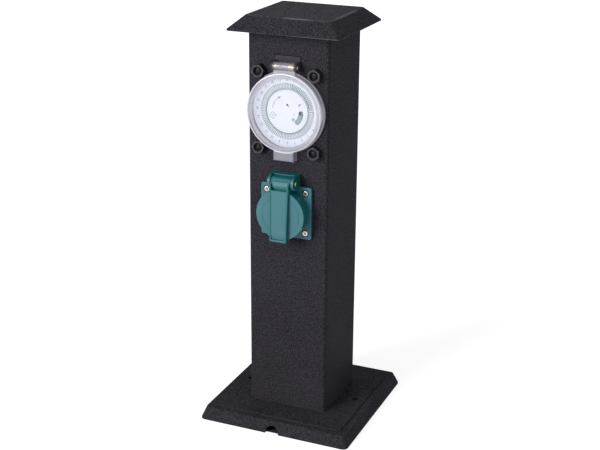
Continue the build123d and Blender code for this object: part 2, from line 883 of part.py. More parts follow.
def dial_centre():
    """Fixed centre face on a hub that the dial ring turns round."""
    face_back_y = dial_front_y + centre_face_thickness
    face = Circle(centre_face_r) - arc_slot(switch_slot_low_deg, switch_slot_high_deg, switch_slot_half_width)
    face -= Pos(0, face_hole_z) * Circle(face_hole_r)
    centre = ahead(Pos(0, timer_z) * face, face_back_y, dial_front_y)
    centre = chamfer(centre.faces().sort_by(Axis.Y)[0].outer_wire().edges(), centre_face_edge)
    hub = Pos(0, timer_z) * (Circle(hub_outer_r) - Circle(hub_inner_r))
    centre += ahead(hub, case_front_y, face_back_y)
    centre += rod_y(centre_stud_r, 0, timer_z, case_front_y, face_back_y)
    return centre - rod_y(case_screw_r + running_gap, 0, timer_z, case_front_y + overrun, face_back_y + overrun)


def override_switch():
    """Knob in the kidney slot on a disc that turns on the centre stud."""
    disc_front_y = dial_front_y + centre_face_thickness + switch_disc_drop
    disc_back_y = disc_front_y + switch_disc_thickness
    low = switch_slot_low_deg
    high = switch_slot_high_deg - switch_travel_deg
    knob = Pos(0, timer_z) * arc_slot(low, high, switch_slot_half_width - switch_knob_gap)
    switch = ahead(Pos(0, timer_z) * Circle(switch_disc_r), disc_back_y, disc_front_y)
    knob_solid = ahead(knob, disc_front_y, dial_front_y - switch_knob_ahead)
    switch += fillet(knob_solid.faces().sort_by(Axis.Y)[0].edges(), switch_knob_ahead)
    return switch - rod_y(centre_stud_r + running_gap, 0, timer_z, disc_back_y + overrun, disc_front_y - overrun)


def timer_case():
    """Box behind the frame that holds the motor and the switch, open at the back."""
    outline = Pos(0, timer_z) * square(case_side, column_corner_r)
    inner = Pos(0, timer_z) * square(case_side - 2 * case_wall, column_inner_r)
    case = ahead(outline, case_back_y, case_front_y)
    case -= ahead(inner, case_back_y + overrun, case_inner_y)
    for x, z in case_screw_places():
        case += rod_y(case_boss_r, x, z, case_back_y, case_inner_y)
        case -= rod_y(case_screw_r + running_gap, x, z, case_back_y + overrun, case_front_y - overrun)
    through = (case_inner_y + overrun, case_front_y - overrun)
    case -= rod_y(case_screw_r + running_gap, 0, timer_z, *through)
    case -= rod_y(shaft_r + running_gap, pinion_x, timer_z + pinion_z, *through)
    for x, z in motor_post_places():
        case += rod_y(case_boss_r, x, z, motor_front_y, case_inner_y)
        case -= rod_y(motor_screw_r + running_gap, x, z, motor_front_y + overrun, case_inner_y)
    case += lever_lugs()
    window_x = (-lever_pivot_x - lever_height, -lever_pivot_x + lever_height)
    return case - block(window_x, through[::-1], (lever_z - lever_height, lever_z + lever_height))


def motor_post_places():
    z = timer_z - motor_post_z
    return [(-motor_post_x, z), (motor_post_x, z)]


def lever_lugs():
    """Two lugs in front of the case that carry the lever's pin."""
    half = lever_height / 2
    x = (lever_pivot_x - half, lever_pivot_x + half)
    lugs = block(x, (case_front_y - lever_lug_depth, case_front_y), (lever_z - lever_reach, lever_z + lever_reach))
    space_z = (lever_z - half - slip_gap, lever_z + half + slip_gap)
    lugs -= block(x, (case_front_y - lever_lug_depth, case_front_y), space_z)
    bore_z = (lever_z - lever_reach, lever_z + lever_reach)
    return lugs - rod_z(lever_pin_r + running_gap, lever_pivot_x, lever_pivot_y, *bore_z)


def timer_back_cover():
    outline = Pos(0, timer_z) * square(case_side, column_corner_r)
    cover = ahead(outline, case_back_y + cover_thickness, case_back_y)
    through = (case_back_y + cover_thickness + overrun, case_back_y - overrun)
    for x, z in case_screw_places():
        cover -= rod_y(case_screw_r + running_gap, x, z, *through)
    for x, z in blade_places():
        half_x = blade_width / 2 + slip_gap
        half_z = blade_thickness / 2 + slip_gap
        cover -= block((x - half_x, x + half_x), through[::-1], (z - half_z, z + half_z))
    return cover


def case_screws():
    sizes = (case_screw_r, case_screw_length, case_screw_head_r, case_screw_head_height)
    seat_y = case_back_y + cover_thickness
    return group(screw_at((x, seat_y, z), (0, 1, 0), 0, *sizes) for x, z in case_screw_places())


def centre_screw():
    length = case_wall + case_front_y - dial_front_y - 2 * centre_face_thickness
    sizes = (case_screw_r, length, case_screw_head_r, case_screw_head_height)
    return screw_at((0, case_inner_y, timer_z), (0, 1, 0), 0, *sizes)


def timer_motor():
    """Flat synchronous motor on two lugs, with a bore for its rotor shaft."""
    motor = rod_y(motor_r, 0, timer_z, motor_front_y + motor_depth, motor_front_y)
    motor = fillet(motor.edges().group_by(Axis.Y)[-1], motor_edge_r)
    lug_back_y = motor_front_y + motor_lug_thickness
    bar = Pos(0, timer_z - motor_post_z) * Rectangle(2 * motor_post_x, 2 * motor_lug_r)
    motor += ahead(bar, lug_back_y, motor_front_y)
    for x, z in motor_post_places():
        motor += rod_y(motor_lug_r, x, z, lug_back_y, motor_front_y)
        motor -= rod_y(motor_screw_r + running_gap, x, z, lug_back_y + overrun, motor_front_y - overrun)
    bore_back_y = motor_front_y + motor_bore_depth
    return motor - rod_y(shaft_r + running_gap, rotor_x, timer_z + rotor_z, bore_back_y, motor_front_y - overrun)


def motor_screws():
    sizes = (motor_screw_r, motor_screw_length, motor_screw_head_r, motor_screw_head_height)
    seat_y = motor_front_y + motor_lug_thickness
    return group(screw_at((x, seat_y, z), (0, 1, 0), 0, *sizes) for x, z in motor_post_places())


def reduction_gear():
    """One shaft with the dial's pinion in front of the case wall and a gear behind it."""
    x, z = pinion_x, timer_z + pinion_z
    pinion_front_y = dial_web_back_y + pinion_gap
    gear_front_y = case_inner_y + reduction_gear_setback
    gear_back_y = gear_front_y + reduction_gear_width
    pinion = Pos(x, z) * tooth_outline(pinion_teeth, dial_gear_module, pinion_angle_deg)
    gear = Pos(x, z) * tooth_outline(reduction_teeth, reduction_module, pinion_angle_deg + 180)
    shaft = rod_y(shaft_r, x, z, gear_back_y + slip_gap, pinion_front_y)
    shaft += ahead(pinion, pinion_front_y + pinion_width, pinion_front_y)
    return shaft + ahead(gear, gear_back_y, gear_front_y)


def motor_pinion():
    x, z = rotor_x, timer_z + rotor_z
    gear_front_y = case_inner_y + reduction_gear_setback
    outline = Pos(x, z) * tooth_outline(rotor_teeth, reduction_module, pinion_angle_deg + 180 / rotor_teeth)
    rotor = ahead(outline, gear_front_y + reduction_gear_width, gear_front_y)
    return rotor + rod_y(shaft_r, x, z, motor_front_y + motor_bore_depth - slip_gap, gear_front_y)


def microswitch():
    outline = Pos(0, lever_z) * Rectangle(microswitch_width, microswitch_height)
    body = ahead(outline, case_inner_y + microswitch_depth, case_inner_y)
    return body + rod_y(lever_pin_r, -lever_pivot_x, lever_z, case_inner_y, case_front_y + slip_gap)


def switch_lever():
    """Rocking lever that feels the tappets' feet and pushes the switch's plunger."""
    y = lever_pivot_y
    low = lever_pivot_x - lever_length
    arm_y = (y - lever_thickness / 2, y + lever_thickness / 2)
    height = (lever_z - lever_height / 2, lever_z + lever_height / 2)
    lever = block((low, lever_pivot_x), arm_y, height)
    lever += rod_z(lever_thickness, lever_pivot_x, y, *height)
    tip_y = (dial_web_back_y + tappet_travel + slip_gap, y)
    lever += block((low, low + lever_height), tip_y, height)
    return lever - rod_z(lever_pin_r + running_gap, lever_pivot_x, y, *height)


def lever_pin():
    return rod_z(lever_pin_r, lever_pivot_x, lever_pivot_y, lever_z - lever_reach, lever_z + lever_reach)


def blade_places():
    return [(-lead_spacing, blade_z), (0, blade_z), (lead_spacing, blade_z)]


def timer_blades():
    """Flat blade contacts through the back cover that the wires push on to."""
    blades = []
    half_x = blade_width / 2
    half_z = blade_thickness / 2
    y = (case_back_y - blade_length / 2, case_back_y + cover_thickness + blade_length)
    for x, z in blade_places():
        blades.append(block((x - half_x, x + half_x), y, (z - half_z, z + half_z)))
    return group(blades)


def push_on_connectors():
    """Brass sleeves on the blades, with a bore at the back for the wire."""
    connectors = []
    back_y = case_back_y + cover_thickness + blade_length + connector_length / 2
    front_y = back_y - connector_length - wire_grip_depth / 2
    for x, z in blade_places():
        body = Pos(x, z) * RectangleRounded(connector_width, connector_height, connector_height / 3)
        sleeve = ahead(body, back_y, front_y)
        slot_y = (front_y - overrun, back_y - connector_length / 2 + slip_gap)
        slot_x = (x - blade_width / 2 - running_gap, x + blade_width / 2 + running_gap)
        slot_z = (z - blade_thickness / 2 - running_gap, z + blade_thickness / 2 + running_gap)
        sleeve -= block(slot_x, slot_y, slot_z)
        sleeve += rod_y(wire_r + blade_thickness, x, z, back_y + connector_length / 2, back_y)
        connectors.append(sleeve - rod_y(wire_r + running_gap, x, z, back_y + connector_length, back_y))
    return group(connectors)


lid_back_y = face_y - seat_gap - lid_seal_thickness
lid_front_y = face_y - lid_front_ahead
lid_width = bracket_width - 2 * ear_thickness - 2 * slip_gap


def timer_lid():
    """Clear cup over the dial, with a lifting tab below and the hinge knuckle above."""
    step_y = lid_back_y - lid_flange_depth
    outline = (
        (0, lid_front_y + lid_rim_relief),
        (lid_front_r - lid_rim_width, lid_front_y + lid_rim_relief),
        (lid_front_r - lid_rim_width, lid_front_y),
        (lid_front_r, lid_front_y),
        (lid_front_r, step_y),
        (lid_outer_r, step_y),
        (lid_outer_r, lid_back_y),
        (lid_front_r - lid_wall + lid_seal_width / 2, lid_back_y),
        (lid_front_r - lid_wall, lid_back_y - lid_flange_depth),
        (lid_front_r - lid_wall, lid_front_y + lid_rim_relief + lid_wall),
        (0, lid_front_y + lid_rim_relief + lid_wall),
    )
    lid = turned(outline, timer_z)
    front_edge = lid.edges().filter_by(GeomType.CIRCLE).sort_by(lambda e: (e.center().Y, -e.radius))[0]
    lid = fillet(front_edge, lid_edge_r)
    lid += lid_tab()
    lid += lid_knuckle()
    return lid - rod_y(lid_front_r - lid_wall, 0, timer_z, lid_back_y + overrun, lid_front_y + lid_rim_relief + lid_wall)


def lid_tab():
    """Hollow tab below the rim, open at the back."""
    half = lid_tab_width / 2
    top_z = timer_z - lid_front_r + lid_wall
    y = (lid_back_y - lid_tab_depth, lid_back_y)
    tab = block((-half, half), y, (lid_tab_bottom_z, top_z))
    tab = chamfer(tab.faces().sort_by(Axis.Y)[0].edges(), lid_tab_edge)
    inner = (-half + lid_tab_wall, half - lid_tab_wall)
    hollow_z = (lid_tab_bottom_z + lid_tab_wall, timer_z - lid_outer_r)
    return tab - block(inner, (y[0] + lid_tab_wall, y[1] + overrun), hollow_z)


def lid_knuckle():
    """Neck and hinge barrel, hollow in the middle for the spring."""
    half = lid_width / 2
    neck_front_y = timer_hinge_y - knuckle_r / 2
    neck_y = (neck_front_y, neck_front_y + lid_neck_thickness)
    neck = block((-half, half), neck_y, (timer_z + lid_front_r - 2 * lid_wall, timer_hinge_z))
    barrel = neck + rod_x(knuckle_r, timer_hinge_y, timer_hinge_z, -half, half)
    barrel -= rod_x(knuckle_bore_r, timer_hinge_y, timer_hinge_z, -half + knuckle_end_wall, half - knuckle_end_wall)
    return barrel - rod_x(timer_pin_r + running_gap, timer_hinge_y, timer_hinge_z, -half - overrun, half + overrun)


def timer_lid_seal():
    outer = lid_outer_r
    ring = Circle(outer) - Circle(outer - lid_seal_width)
    return ahead(Pos(0, timer_z) * ring, lid_back_y + lid_seal_thickness, lid_back_y)


def hinge_pin(pin_r, y, z, half_width):
    """Straight pin with a flattened head at each end."""
    pin = rod_x(pin_r, y, z, -half_width - pin_head_thickness, half_width + pin_head_thickness)
    for x in (-half_width - pin_head_thickness, half_width):
        head = rod_x(pin_head_r, y, z, x, x + pin_head_thickness)
        pin += head
    ends = pin.edges().group_by(Axis.X)
    return chamfer(ends[0] + ends[-1], pin_edge)


def timer_hinge_pin():
    return hinge_pin(timer_pin_r, timer_hinge_y, timer_hinge_z, bracket_width / 2)


def timer_hinge_bushes():
    """Two brass sleeves on the pin, one each end of the spring."""
    inner_half = lid_width / 2 - knuckle_end_wall
    sleeves = []
    for left, right in ((-inner_half, -inner_half + bush_narrow), (inner_half - bush_wide, inner_half)):
        sleeve = rod_x(bush_r, timer_hinge_y, timer_hinge_z, left + slip_gap, right - slip_gap)
        bore = rod_x(timer_pin_r + running_gap, timer_hinge_y, timer_hinge_z, left - overrun, right + overrun)
        sleeves.append(sleeve - bore)
    return group(sleeves)


def timer_lid_spring():
    start_x = -lid_width / 2 + knuckle_end_wall + bush_narrow + lid_spring_wire_r
    plane = Plane(origin=(start_x, timer_hinge_y, timer_hinge_z), x_dir=(0, 1, 0), z_dir=(1, 0, 0))
    return plane * coil(lid_spring_r, lid_spring_pitch, lid_spring_turns, lid_spring_wire_r)


flange_back_y = face_y - flange_gasket_thickness
flange_front_y = flange_back_y - flange_thickness
collar_step_y = flange_front_y - collar_base_depth
mouth_y = face_y - well_mouth_ahead
well_floor_y = mouth_y + well_depth
barrel_back_y = flange_back_y + barrel_depth
socket_lid_front_y = face_y - socket_lid_ahead
socket_lid_inner_y = socket_lid_front_y + socket_lid_thickness


def socket_body():
    """Flange, collar round the well, rear barrel and the two hinge ears with their roof."""
    plate = Pos(0, socket_z) * square(flange_side, flange_corner_r)
    flange = ahead(plate, flange_back_y, flange_front_y)
    flange = fillet(flange.faces().sort_by(Axis.Y)[0].outer_wire().edges(), flange_edge_r)
    body = flange + rod_y(collar_base_r, 0, socket_z, flange_back_y, collar_step_y)
    body += rod_y(collar_neck_r, 0, socket_z, flange_back_y, mouth_y)
    body += rod_y(barrel_r, 0, socket_z, barrel_back_y, flange_back_y)
    for x, z in flange_screw_places():
        body -= rod_y(flange_counterbore_r, x, z, flange_front_y + flange_counterbore_depth, mouth_y)
        body -= rod_y(flange_screw_hole_r, x, z, flange_back_y + overrun, mouth_y)
    body += hinge_ears()
    return body - rod_y(well_r, 0, socket_z, barrel_back_y + overrun, mouth_y - overrun)


def hinge_ears():
    ear = Pos(socket_hinge_y, socket_hinge_z) * Circle(socket_ear_r)
    ear += Polygon(
        (socket_hinge_y, socket_hinge_z - socket_ear_r),
        (flange_front_y, socket_ear_foot_z),
        (flange_front_y, socket_hinge_z + socket_ear_r),
        (socket_hinge_y, socket_hinge_z + socket_ear_r),
        align=None,
    )
    foot_y = (flange_front_y, flange_back_y)
    ear += Polygon(
        (foot_y[0], socket_z + barrel_r / 2),
        (foot_y[1], socket_z + barrel_r / 2),
        (foot_y[1], socket_hinge_z + socket_ear_r),
        (foot_y[0], socket_hinge_z + socket_ear_r),
        align=None,
    )
    ear -= Pos(socket_hinge_y, socket_hinge_z) * Circle(socket_pin_r + running_gap)
    half = socket_ear_gap / 2
    pieces = [across(ear, x, x + socket_ear_thickness) for x in (-half - socket_ear_thickness, half)]
    roof_top_z = socket_hinge_z + socket_ear_r
    roof_y = (flange_front_y - socket_roof_depth, flange_back_y)
    pieces.append(block((-half, half), roof_y, (roof_top_z - socket_roof_thickness, roof_top_z)))
    wall_z = (socket_z + collar_base_r - flange_thickness, roof_top_z)
    pieces.append(block((-half, half), (flange_front_y, flange_back_y), wall_z))
    return pieces


def flange_gasket():
    plate = Pos(0, socket_z) * square(flange_side - 2 * flange_edge_r, flange_corner_r)
    gasket = ahead(plate, face_y, flange_back_y)
    gasket -= rod_y(socket_opening_r, 0, socket_z, face_y + overrun, flange_back_y - overrun)
    for x, z in flange_screw_places():
        gasket -= rod_y(flange_screw_hole_r, x, z, face_y + overrun, flange_back_y - overrun)
    return gasket


def flange_screws():
    sizes = (flange_screw_r, flange_screw_length, flange_screw_head_r, flange_screw_head_height)
    seat_y = flange_front_y + flange_counterbore_depth
    screws = []
    for (x, z), turn in zip(flange_screw_places(), flange_screw_turns):
        screws.append(screw_at((x, seat_y, z), (0, -1, 0), turn, *sizes))
    return group(screws)


insert_back_y = well_floor_y + insert_thickness
pocket_front_y = well_floor_y + insert_front_thickness
shutter_y = pocket_front_y + slip_gap
pocket_back_y = shutter_y + shutter_thickness + shutter_spring_room
contact_front_y = pocket_back_y + slip_gap
terminal_front_y = contact_front_y + contact_depth
terminal_back_y = barrel_back_y - slip_gap
terminal_screw_y = (terminal_front_y + terminal_back_y) / 2


def contact_places():
    return [(sign * contact_spacing / 2, socket_z) for sign in (-1, 1)]


def socket_insert():
    """Floor of the well: contact holes in front, a pocket for the shutter behind them."""
    insert = rod_y(well_r - slip_gap, 0, socket_z, insert_back_y, well_floor_y)
    reach = contact_spacing / 2 + shutter_width
    insert -= rod_y(reach, 0, socket_z, pocket_back_y, pocket_front_y)
    insert += rod_y(shutter_pin_r, 0, socket_z, pocket_back_y, pocket_front_y)
    for x, z in contact_places():
        insert -= rod_y(contact_hole_r, x, z, insert_back_y + overrun, well_floor_y - overrun)
    half = earth_clip_width / 2 + slip_gap
    inner = well_r - earth_clip_inset - earth_clip_thickness - slip_gap
    for sign in (-1, 1):
        z = sorted((socket_z + sign * inner, socket_z + sign * well_r))
        insert -= block((-half, half), (well_floor_y - overrun, insert_back_y + overrun), z)
    return insert


def earth_clips():
    """Two sprung earth strips on opposite sides of the well, joined behind the insert."""
    half = earth_clip_width / 2
    front_y = well_floor_y - earth_clip_reach
    back_y = insert_back_y + earth_clip_thickness
    outer = well_r - earth_clip_inset
    inner = outer - earth_clip_thickness
    strips = []
    for sign in (-1, 1):
        z = sorted((socket_z + sign * inner, socket_z + sign * outer))
        strips.append(block((-half, half), (front_y, back_y), z))
    bridge = block((-half, half), (insert_back_y, back_y), (socket_z - outer, socket_z + outer))
    return bridge + strips


def socket_contacts():
    """Two split tubes behind the shutter that grip the plug's pins."""
    contacts = []
    for x, z in contact_places():
        contact = rod_y(contact_tube_r, x, z, terminal_front_y, contact_front_y)
        contact -= rod_y(contact_bore_r, x, z, terminal_front_y - overrun, contact_front_y - overrun)
        slit_x = (x - slip_gap, x + slip_gap)
        slit_y = (contact_front_y - overrun, terminal_front_y - overrun)
        contact -= block(slit_x, slit_y, (z - contact_hole_r, z + contact_hole_r))
        contacts.append(contact)
    return group(contacts)


def shutter():
    """Turning blade that covers both contact holes until a plug turns it aside."""
    reach = contact_spacing / 2 + contact_hole_r
    blade = Rectangle(2 * reach, shutter_width)
    blade = blade & Circle(reach)
    blade -= Circle(shutter_pin_r + running_gap)
    return ahead(Pos(0, socket_z) * blade, shutter_y + shutter_thickness, shutter_y)


def shutter_spring():
    """Small coil on the shutter's pin, between the blade and the pocket's back."""
    start_y = shutter_y + shutter_thickness + shutter_spring_wire_r
    plane = Plane(origin=(0, start_y, socket_z), x_dir=(1, 0, 0), z_dir=(0, 1, 0))
    return plane * coil(shutter_spring_r, shutter_spring_pitch, shutter_spring_turns, shutter_spring_wire_r)


def socket_rear_cover():
    """Round cover snapped in the back of the barrel, with a hole for each wire."""
    cover = rod_y(barrel_r, 0, socket_z, barrel_back_y + rear_cover_thickness, barrel_back_y)
    spigot_r = well_r - slip_gap
    spigot = Circle(spigot_r) - Circle(spigot_r - rear_cover_spigot_wall)
    cover += ahead(Pos(0, socket_z) * spigot, barrel_back_y, barrel_back_y - rear_cover_spigot_depth)
    for x, z in wire_hole_places():
        cover -= rod_y(wire_r + slip_gap, x, z, barrel_back_y + rear_cover_thickness + overrun, barrel_back_y - overrun)
    return cover


def wire_hole_places():
    return contact_places() + [(0, socket_z - contact_spacing / 2)]


def contact_terminals():
    """Brass blocks behind the contacts that clamp the wires, with the earth terminal between."""
    blocks = []
    half = contact_tube_r
    earth_front_y = insert_back_y + earth_clip_thickness
    for (x, z), front_y in zip(wire_hole_places(), (terminal_front_y, terminal_front_y, earth_front_y)):
        terminal = block((x - half, x + half), (front_y, terminal_back_y), (z - half, z + half))
        terminal -= rod_y(wire_r + running_gap, x, z, terminal_back_y + overrun, terminal_back_y - wire_grip_depth)
        terminal -= rod_z(terminal_screw_r + running_gap, x, terminal_screw_y, z, z + half + overrun)
        blocks.append(terminal)
    return group(blocks)


def terminal_screws():
    """Clamp screws in the sides of the contact terminals."""
    sizes = (terminal_screw_r, terminal_screw_length, terminal_screw_head_r, terminal_screw_head_height)
    screws = []
    for x, z in wire_hole_places():
        screws.append(screw_at((x, terminal_screw_y, z + contact_tube_r), (0, 0, 1), 0, *sizes))
    return group(screws)


def socket_lid():
    """Round lid with a skirt over the collar, a long raised band and the hinge knuckle."""
    skirt_back_y = socket_lid_front_y + socket_lid_skirt_depth
    shell = rod_y(socket_lid_r, 0, socket_z, skirt_back_y, socket_lid_front_y)
    shell = fillet(shell.edges().group_by(Axis.Y)[0], socket_lid_edge_r)
    lid = shell + band()
    ring = Circle(socket_lid_ring_r + socket_lid_ring_width) - Circle(socket_lid_ring_r)
    lid += ahead(Pos(0, socket_z) * ring, socket_lid_front_y, socket_lid_front_y - socket_lid_ring_relief)
    half = socket_knuckle_width / 2
    lid += rod_x(socket_knuckle_r, socket_hinge_y, socket_hinge_z, -half, half)
    inner_r = socket_lid_r - socket_lid_skirt_wall
    lid -= rod_y(inner_r, 0, socket_z, skirt_back_y + overrun, socket_lid_inner_y)
    lid -= band_window()
    cavity = half - socket_knuckle_end_wall
    lid -= rod_x(socket_knuckle_cavity_r, socket_hinge_y, socket_hinge_z, -cavity, cavity)
    return lid - rod_x(socket_pin_r + running_gap, socket_hinge_y, socket_hinge_z, -half - overrun, half + overrun)


def band_front_y(z):
    """Y of the band's front face at height z."""
    top_z = socket_z + band_top_rise
    lean = (band_top_ahead - band_bottom_ahead) / (band_top_rise + band_bottom_drop)
    return face_y - band_top_ahead - lean * (z - top_z)


def band():
    """Raised band from the knuckle to the lifting lip, narrower and prouder towards the lip."""
    top_z = socket_z + band_top_rise
    bottom_z = socket_z - band_bottom_drop
    crown = (socket_knuckle_r * cos(pi / 6), socket_knuckle_r / 2)
    low_y = band_front_y(bottom_z)
    inner_r = socket_lid_r - socket_lid_skirt_wall
    side = Polygon(
        (socket_hinge_y - crown[0], socket_hinge_z + crown[1]),
        (band_front_y(top_z), top_z),
        (low_y, bottom_z),
        (low_y + band_tab_depth, bottom_z),
        (low_y + band_tab_depth, socket_z - inner_r),
        (socket_lid_inner_y, socket_z - inner_r),
        (socket_lid_inner_y, socket_z + inner_r),
        (socket_lid_front_y + socket_lid_skirt_depth, socket_z + inner_r),
        (socket_hinge_y + socket_knuckle_r / 2, socket_hinge_z - socket_knuckle_r / 2),
        (socket_hinge_y, socket_hinge_z),
        align=None,
    )
    front = Polygon(
        (-band_top_width / 2, socket_hinge_z + crown[1]),
        (-band_bottom_width / 2, bottom_z),
        (band_bottom_width / 2, bottom_z),
        (band_top_width / 2, socket_hinge_z + crown[1]),
        align=None,
    )
    half = band_top_width / 2
    solid = across(side, -half, half) & ahead(front, 0, 2 * face_y)
    front_face = solid.faces().sort_by(Axis.Y)[0]
    return fillet(front_face.edges(), band_edge_r)


def band_window():
    """Sunk face between the band's rails: a sloped window and a slot above, a sloped foot below."""
    window_z = socket_z + band_window_top_rise
    slot_top_z = socket_z + band_slot_top_rise
    slot_low_z = socket_z + band_slot_bottom_rise
    foot_top_z = socket_z - band_foot_top_drop
    foot_low_z = socket_z - band_foot_bottom_drop
    outside_y = band_front_y(foot_low_z) - overrun
    crown_y = socket_hinge_y - socket_knuckle_r - band_recess
    side = Polygon(
        (outside_y, foot_low_z),
        (band_front_y(foot_low_z) + band_foot_depth, foot_low_z),
        (band_front_y(foot_top_z) + band_recess, foot_top_z),
        (band_front_y(slot_low_z) + band_recess, slot_low_z),
        (band_front_y(slot_low_z) + band_slot_depth, slot_low_z),
        (band_front_y(slot_top_z) + band_slot_depth, slot_top_z),
        (band_front_y(slot_top_z) + band_window_depth, slot_top_z),
        (crown_y, window_z),
        (outside_y, window_z),
        align=None,
    )
    top_half = band_top_width / 2 - band_rail_width
    low_half = band_bottom_width / 2 - band_rail_width
    front = Polygon(
        (-top_half, window_z),
        (-low_half, foot_low_z),
        (low_half, foot_low_z),
        (top_half, window_z),
        align=None,
    )
    return across(side, -top_half, top_half) & ahead(front, 0, 2 * face_y)


def socket_lid_seal():
    outer = collar_neck_r - slip_gap
    ring = Circle(outer) - Circle(well_r)
    return ahead(Pos(0, socket_z) * ring, socket_lid_inner_y + socket_seal_thickness, socket_lid_inner_y)


def socket_hinge_pin():
    return hinge_pin(socket_pin_r, socket_hinge_y, socket_hinge_z, socket_ear_gap / 2 + socket_ear_thickness)


def socket_lid_spring():
    length = socket_spring_pitch * socket_spring_turns
    plane = Plane(origin=(-length / 2, socket_hinge_y, socket_hinge_z), x_dir=(0, 1, 0), z_dir=(1, 0, 0))
    return plane * coil(socket_spring_r, socket_spring_pitch, socket_spring_turns, socket_spring_wire_r)


terminal_top_z = platform_z + terminal_block_height
terminal_row_y = terminal_block_y + terminal_block_depth / 2
wire_front_y = terminal_row_y - wire_row_offset
wire_back_y = terminal_row_y + wire_row_offset
socket_wire_y = terminal_back_y - wire_grip_depth
timer_wire_y = case_back_y + cover_thickness + blade_length + connector_length / 2 + running_gap
blade_z = timer_z - blade_drop


def terminal_block():
    """Three-way screw terminal block that stands on the base inside the column."""
    y = (terminal_block_y, terminal_block_y + terminal_block_depth)
    half = terminal_block_width / 2
    body = block((-half, half), y, (platform_z, terminal_top_z))
    half = terminal_foot_width / 2
    body += block((-half, half), y, (platform_z, platform_z + terminal_foot_height))
    for x in terminal_places():
        space_x = (x - terminal_clamp_width / 2, x + terminal_clamp_width / 2)
        space_y = (terminal_row_y - terminal_clamp_depth / 2, terminal_row_y + terminal_clamp_depth / 2)
        body -= block(space_x, space_y, (terminal_top_z - terminal_clamp_height, terminal_top_z + overrun))
    for x in (-block_screw_spacing / 2, block_screw_spacing / 2):
        body -= rod_z(block_screw_r + running_gap, x, terminal_row_y, 0, terminal_top_z)
    return body


def terminal_places():
    return [-lead_spacing, 0, lead_spacing]


def block_screws():
    sizes = (block_screw_r, block_screw_length, block_screw_head_r, block_screw_head_height)
    seat_z = platform_z + terminal_foot_height
    places = [(x, terminal_row_y, seat_z) for x in (-block_screw_spacing / 2, block_screw_spacing / 2)]
    return group(screw_at(place, (0, 0, 1), 0, *sizes) for place in places)


def terminal_clamps():
    """Brass clamps in the terminal block."""
    half_x = terminal_clamp_width / 2 - slip_gap
    half_y = terminal_clamp_depth / 2 - slip_gap
    y = (terminal_row_y - half_y, terminal_row_y + half_y)
    low_z = terminal_top_z - terminal_clamp_height
    clamps = []
    for x in terminal_places():
        clamp = block((x - half_x, x + half_x), y, (low_z, terminal_top_z))
        for row_y in (wire_front_y, wire_back_y):
            clamp -= rod_z(wire_r + running_gap, x, row_y, low_z + overrun, terminal_top_z + overrun)
        clamps.append(clamp)
    return group(clamps)


def lead_up(x, row_y, end_y, end_z):
    """Wire from a clamp straight up and then forward to end_y at height end_z."""
    start_z = terminal_top_z - terminal_clamp_height + 2 * overrun
    return tube([(x, row_y, start_z), (x, row_y, end_z), (x, end_y, end_z)], wire_r, wire_bend_r)


def neutral_wires():
    """Leads from the left clamp to the left contact and to the timer."""
    contact_lead = lead_up(-lead_spacing, wire_front_y, socket_wire_y, socket_z)
    return group([contact_lead, lead_up(-lead_spacing, wire_back_y, timer_wire_y, blade_z)])


def earth_wire():
    return lead_up(0, wire_front_y, socket_wire_y, socket_z - contact_spacing / 2)


def live_wires():
    """Lead from the right clamp to the timer, and the switched lead from timer to contact."""
    start_z = terminal_top_z - terminal_clamp_height + 2 * overrun
    supply = [
        (lead_spacing, wire_back_y, start_z),
        (lead_spacing, wire_back_y, wire_cross_low_z),
        (0, wire_back_y, wire_cross_high_z),
        (0, wire_back_y, blade_z),
        (0, timer_wire_y, blade_z),
    ]
    switched = [
        (lead_spacing, timer_wire_y, blade_z),
        (lead_spacing, wire_back_y, blade_z),
        (lead_spacing, wire_back_y, socket_z),
        (lead_spacing, socket_wire_y, socket_z),
    ]
    return group([tube(supply, wire_r, wire_bend_r), tube(switched, wire_r, wire_bend_r)])


pieces = {
    "base_plate": base_plate,
    "inlet_grommet": inlet_grommet,
    "base_screws": base_screws,
    "column_tube": column_tube,
    "roof_cap": roof_cap,
    "timer_frame": timer_frame,
    "dial_bezel": dial_bezel,
    "timer_gasket": timer_gasket,
    "timer_studs": timer_studs,
    "hex_nuts": hex_nuts,
    "dial_ring": dial_ring,
    "tappets": tappets,
    "dial_centre": dial_centre,
    "override_switch": override_switch,
    "timer_case": timer_case,
    "timer_back_cover": timer_back_cover,
    "case_screws": case_screws,
    "centre_screw": centre_screw,
    "timer_motor": timer_motor,
    "motor_screws": motor_screws,
    "reduction_gear": reduction_gear,
    "motor_pinion": motor_pinion,
    "microswitch": microswitch,
    "switch_lever": switch_lever,
    "lever_pin": lever_pin,
    "timer_blades": timer_blades,
    "push_on_connectors": push_on_connectors,
    "timer_lid": timer_lid,
    "timer_lid_seal": timer_lid_seal,
    "timer_hinge_pin": timer_hinge_pin,
    "timer_hinge_bushes": timer_hinge_bushes,
    "timer_lid_spring": timer_lid_spring,
    "socket_body": socket_body,
    "flange_gasket": flange_gasket,
    "flange_screws": flange_screws,
    "socket_insert": socket_insert,
    "earth_clips": earth_clips,
    "socket_contacts": socket_contacts,
    "shutter": shutter,
    "shutter_spring": shutter_spring,
    "socket_rear_cover": socket_rear_cover,
    "contact_terminals": contact_terminals,
    "terminal_screws": terminal_screws,
    "socket_lid": socket_lid,
    "socket_lid_seal": socket_lid_seal,
    "socket_hinge_pin": socket_hinge_pin,
    "socket_lid_spring": socket_lid_spring,
    "terminal_block": terminal_block,
    "terminal_clamps": terminal_clamps,
    "block_screws": block_screws,
    "neutral_wires": neutral_wires,
    "live_wires": live_wires,
    "earth_wire": earth_wire,
}

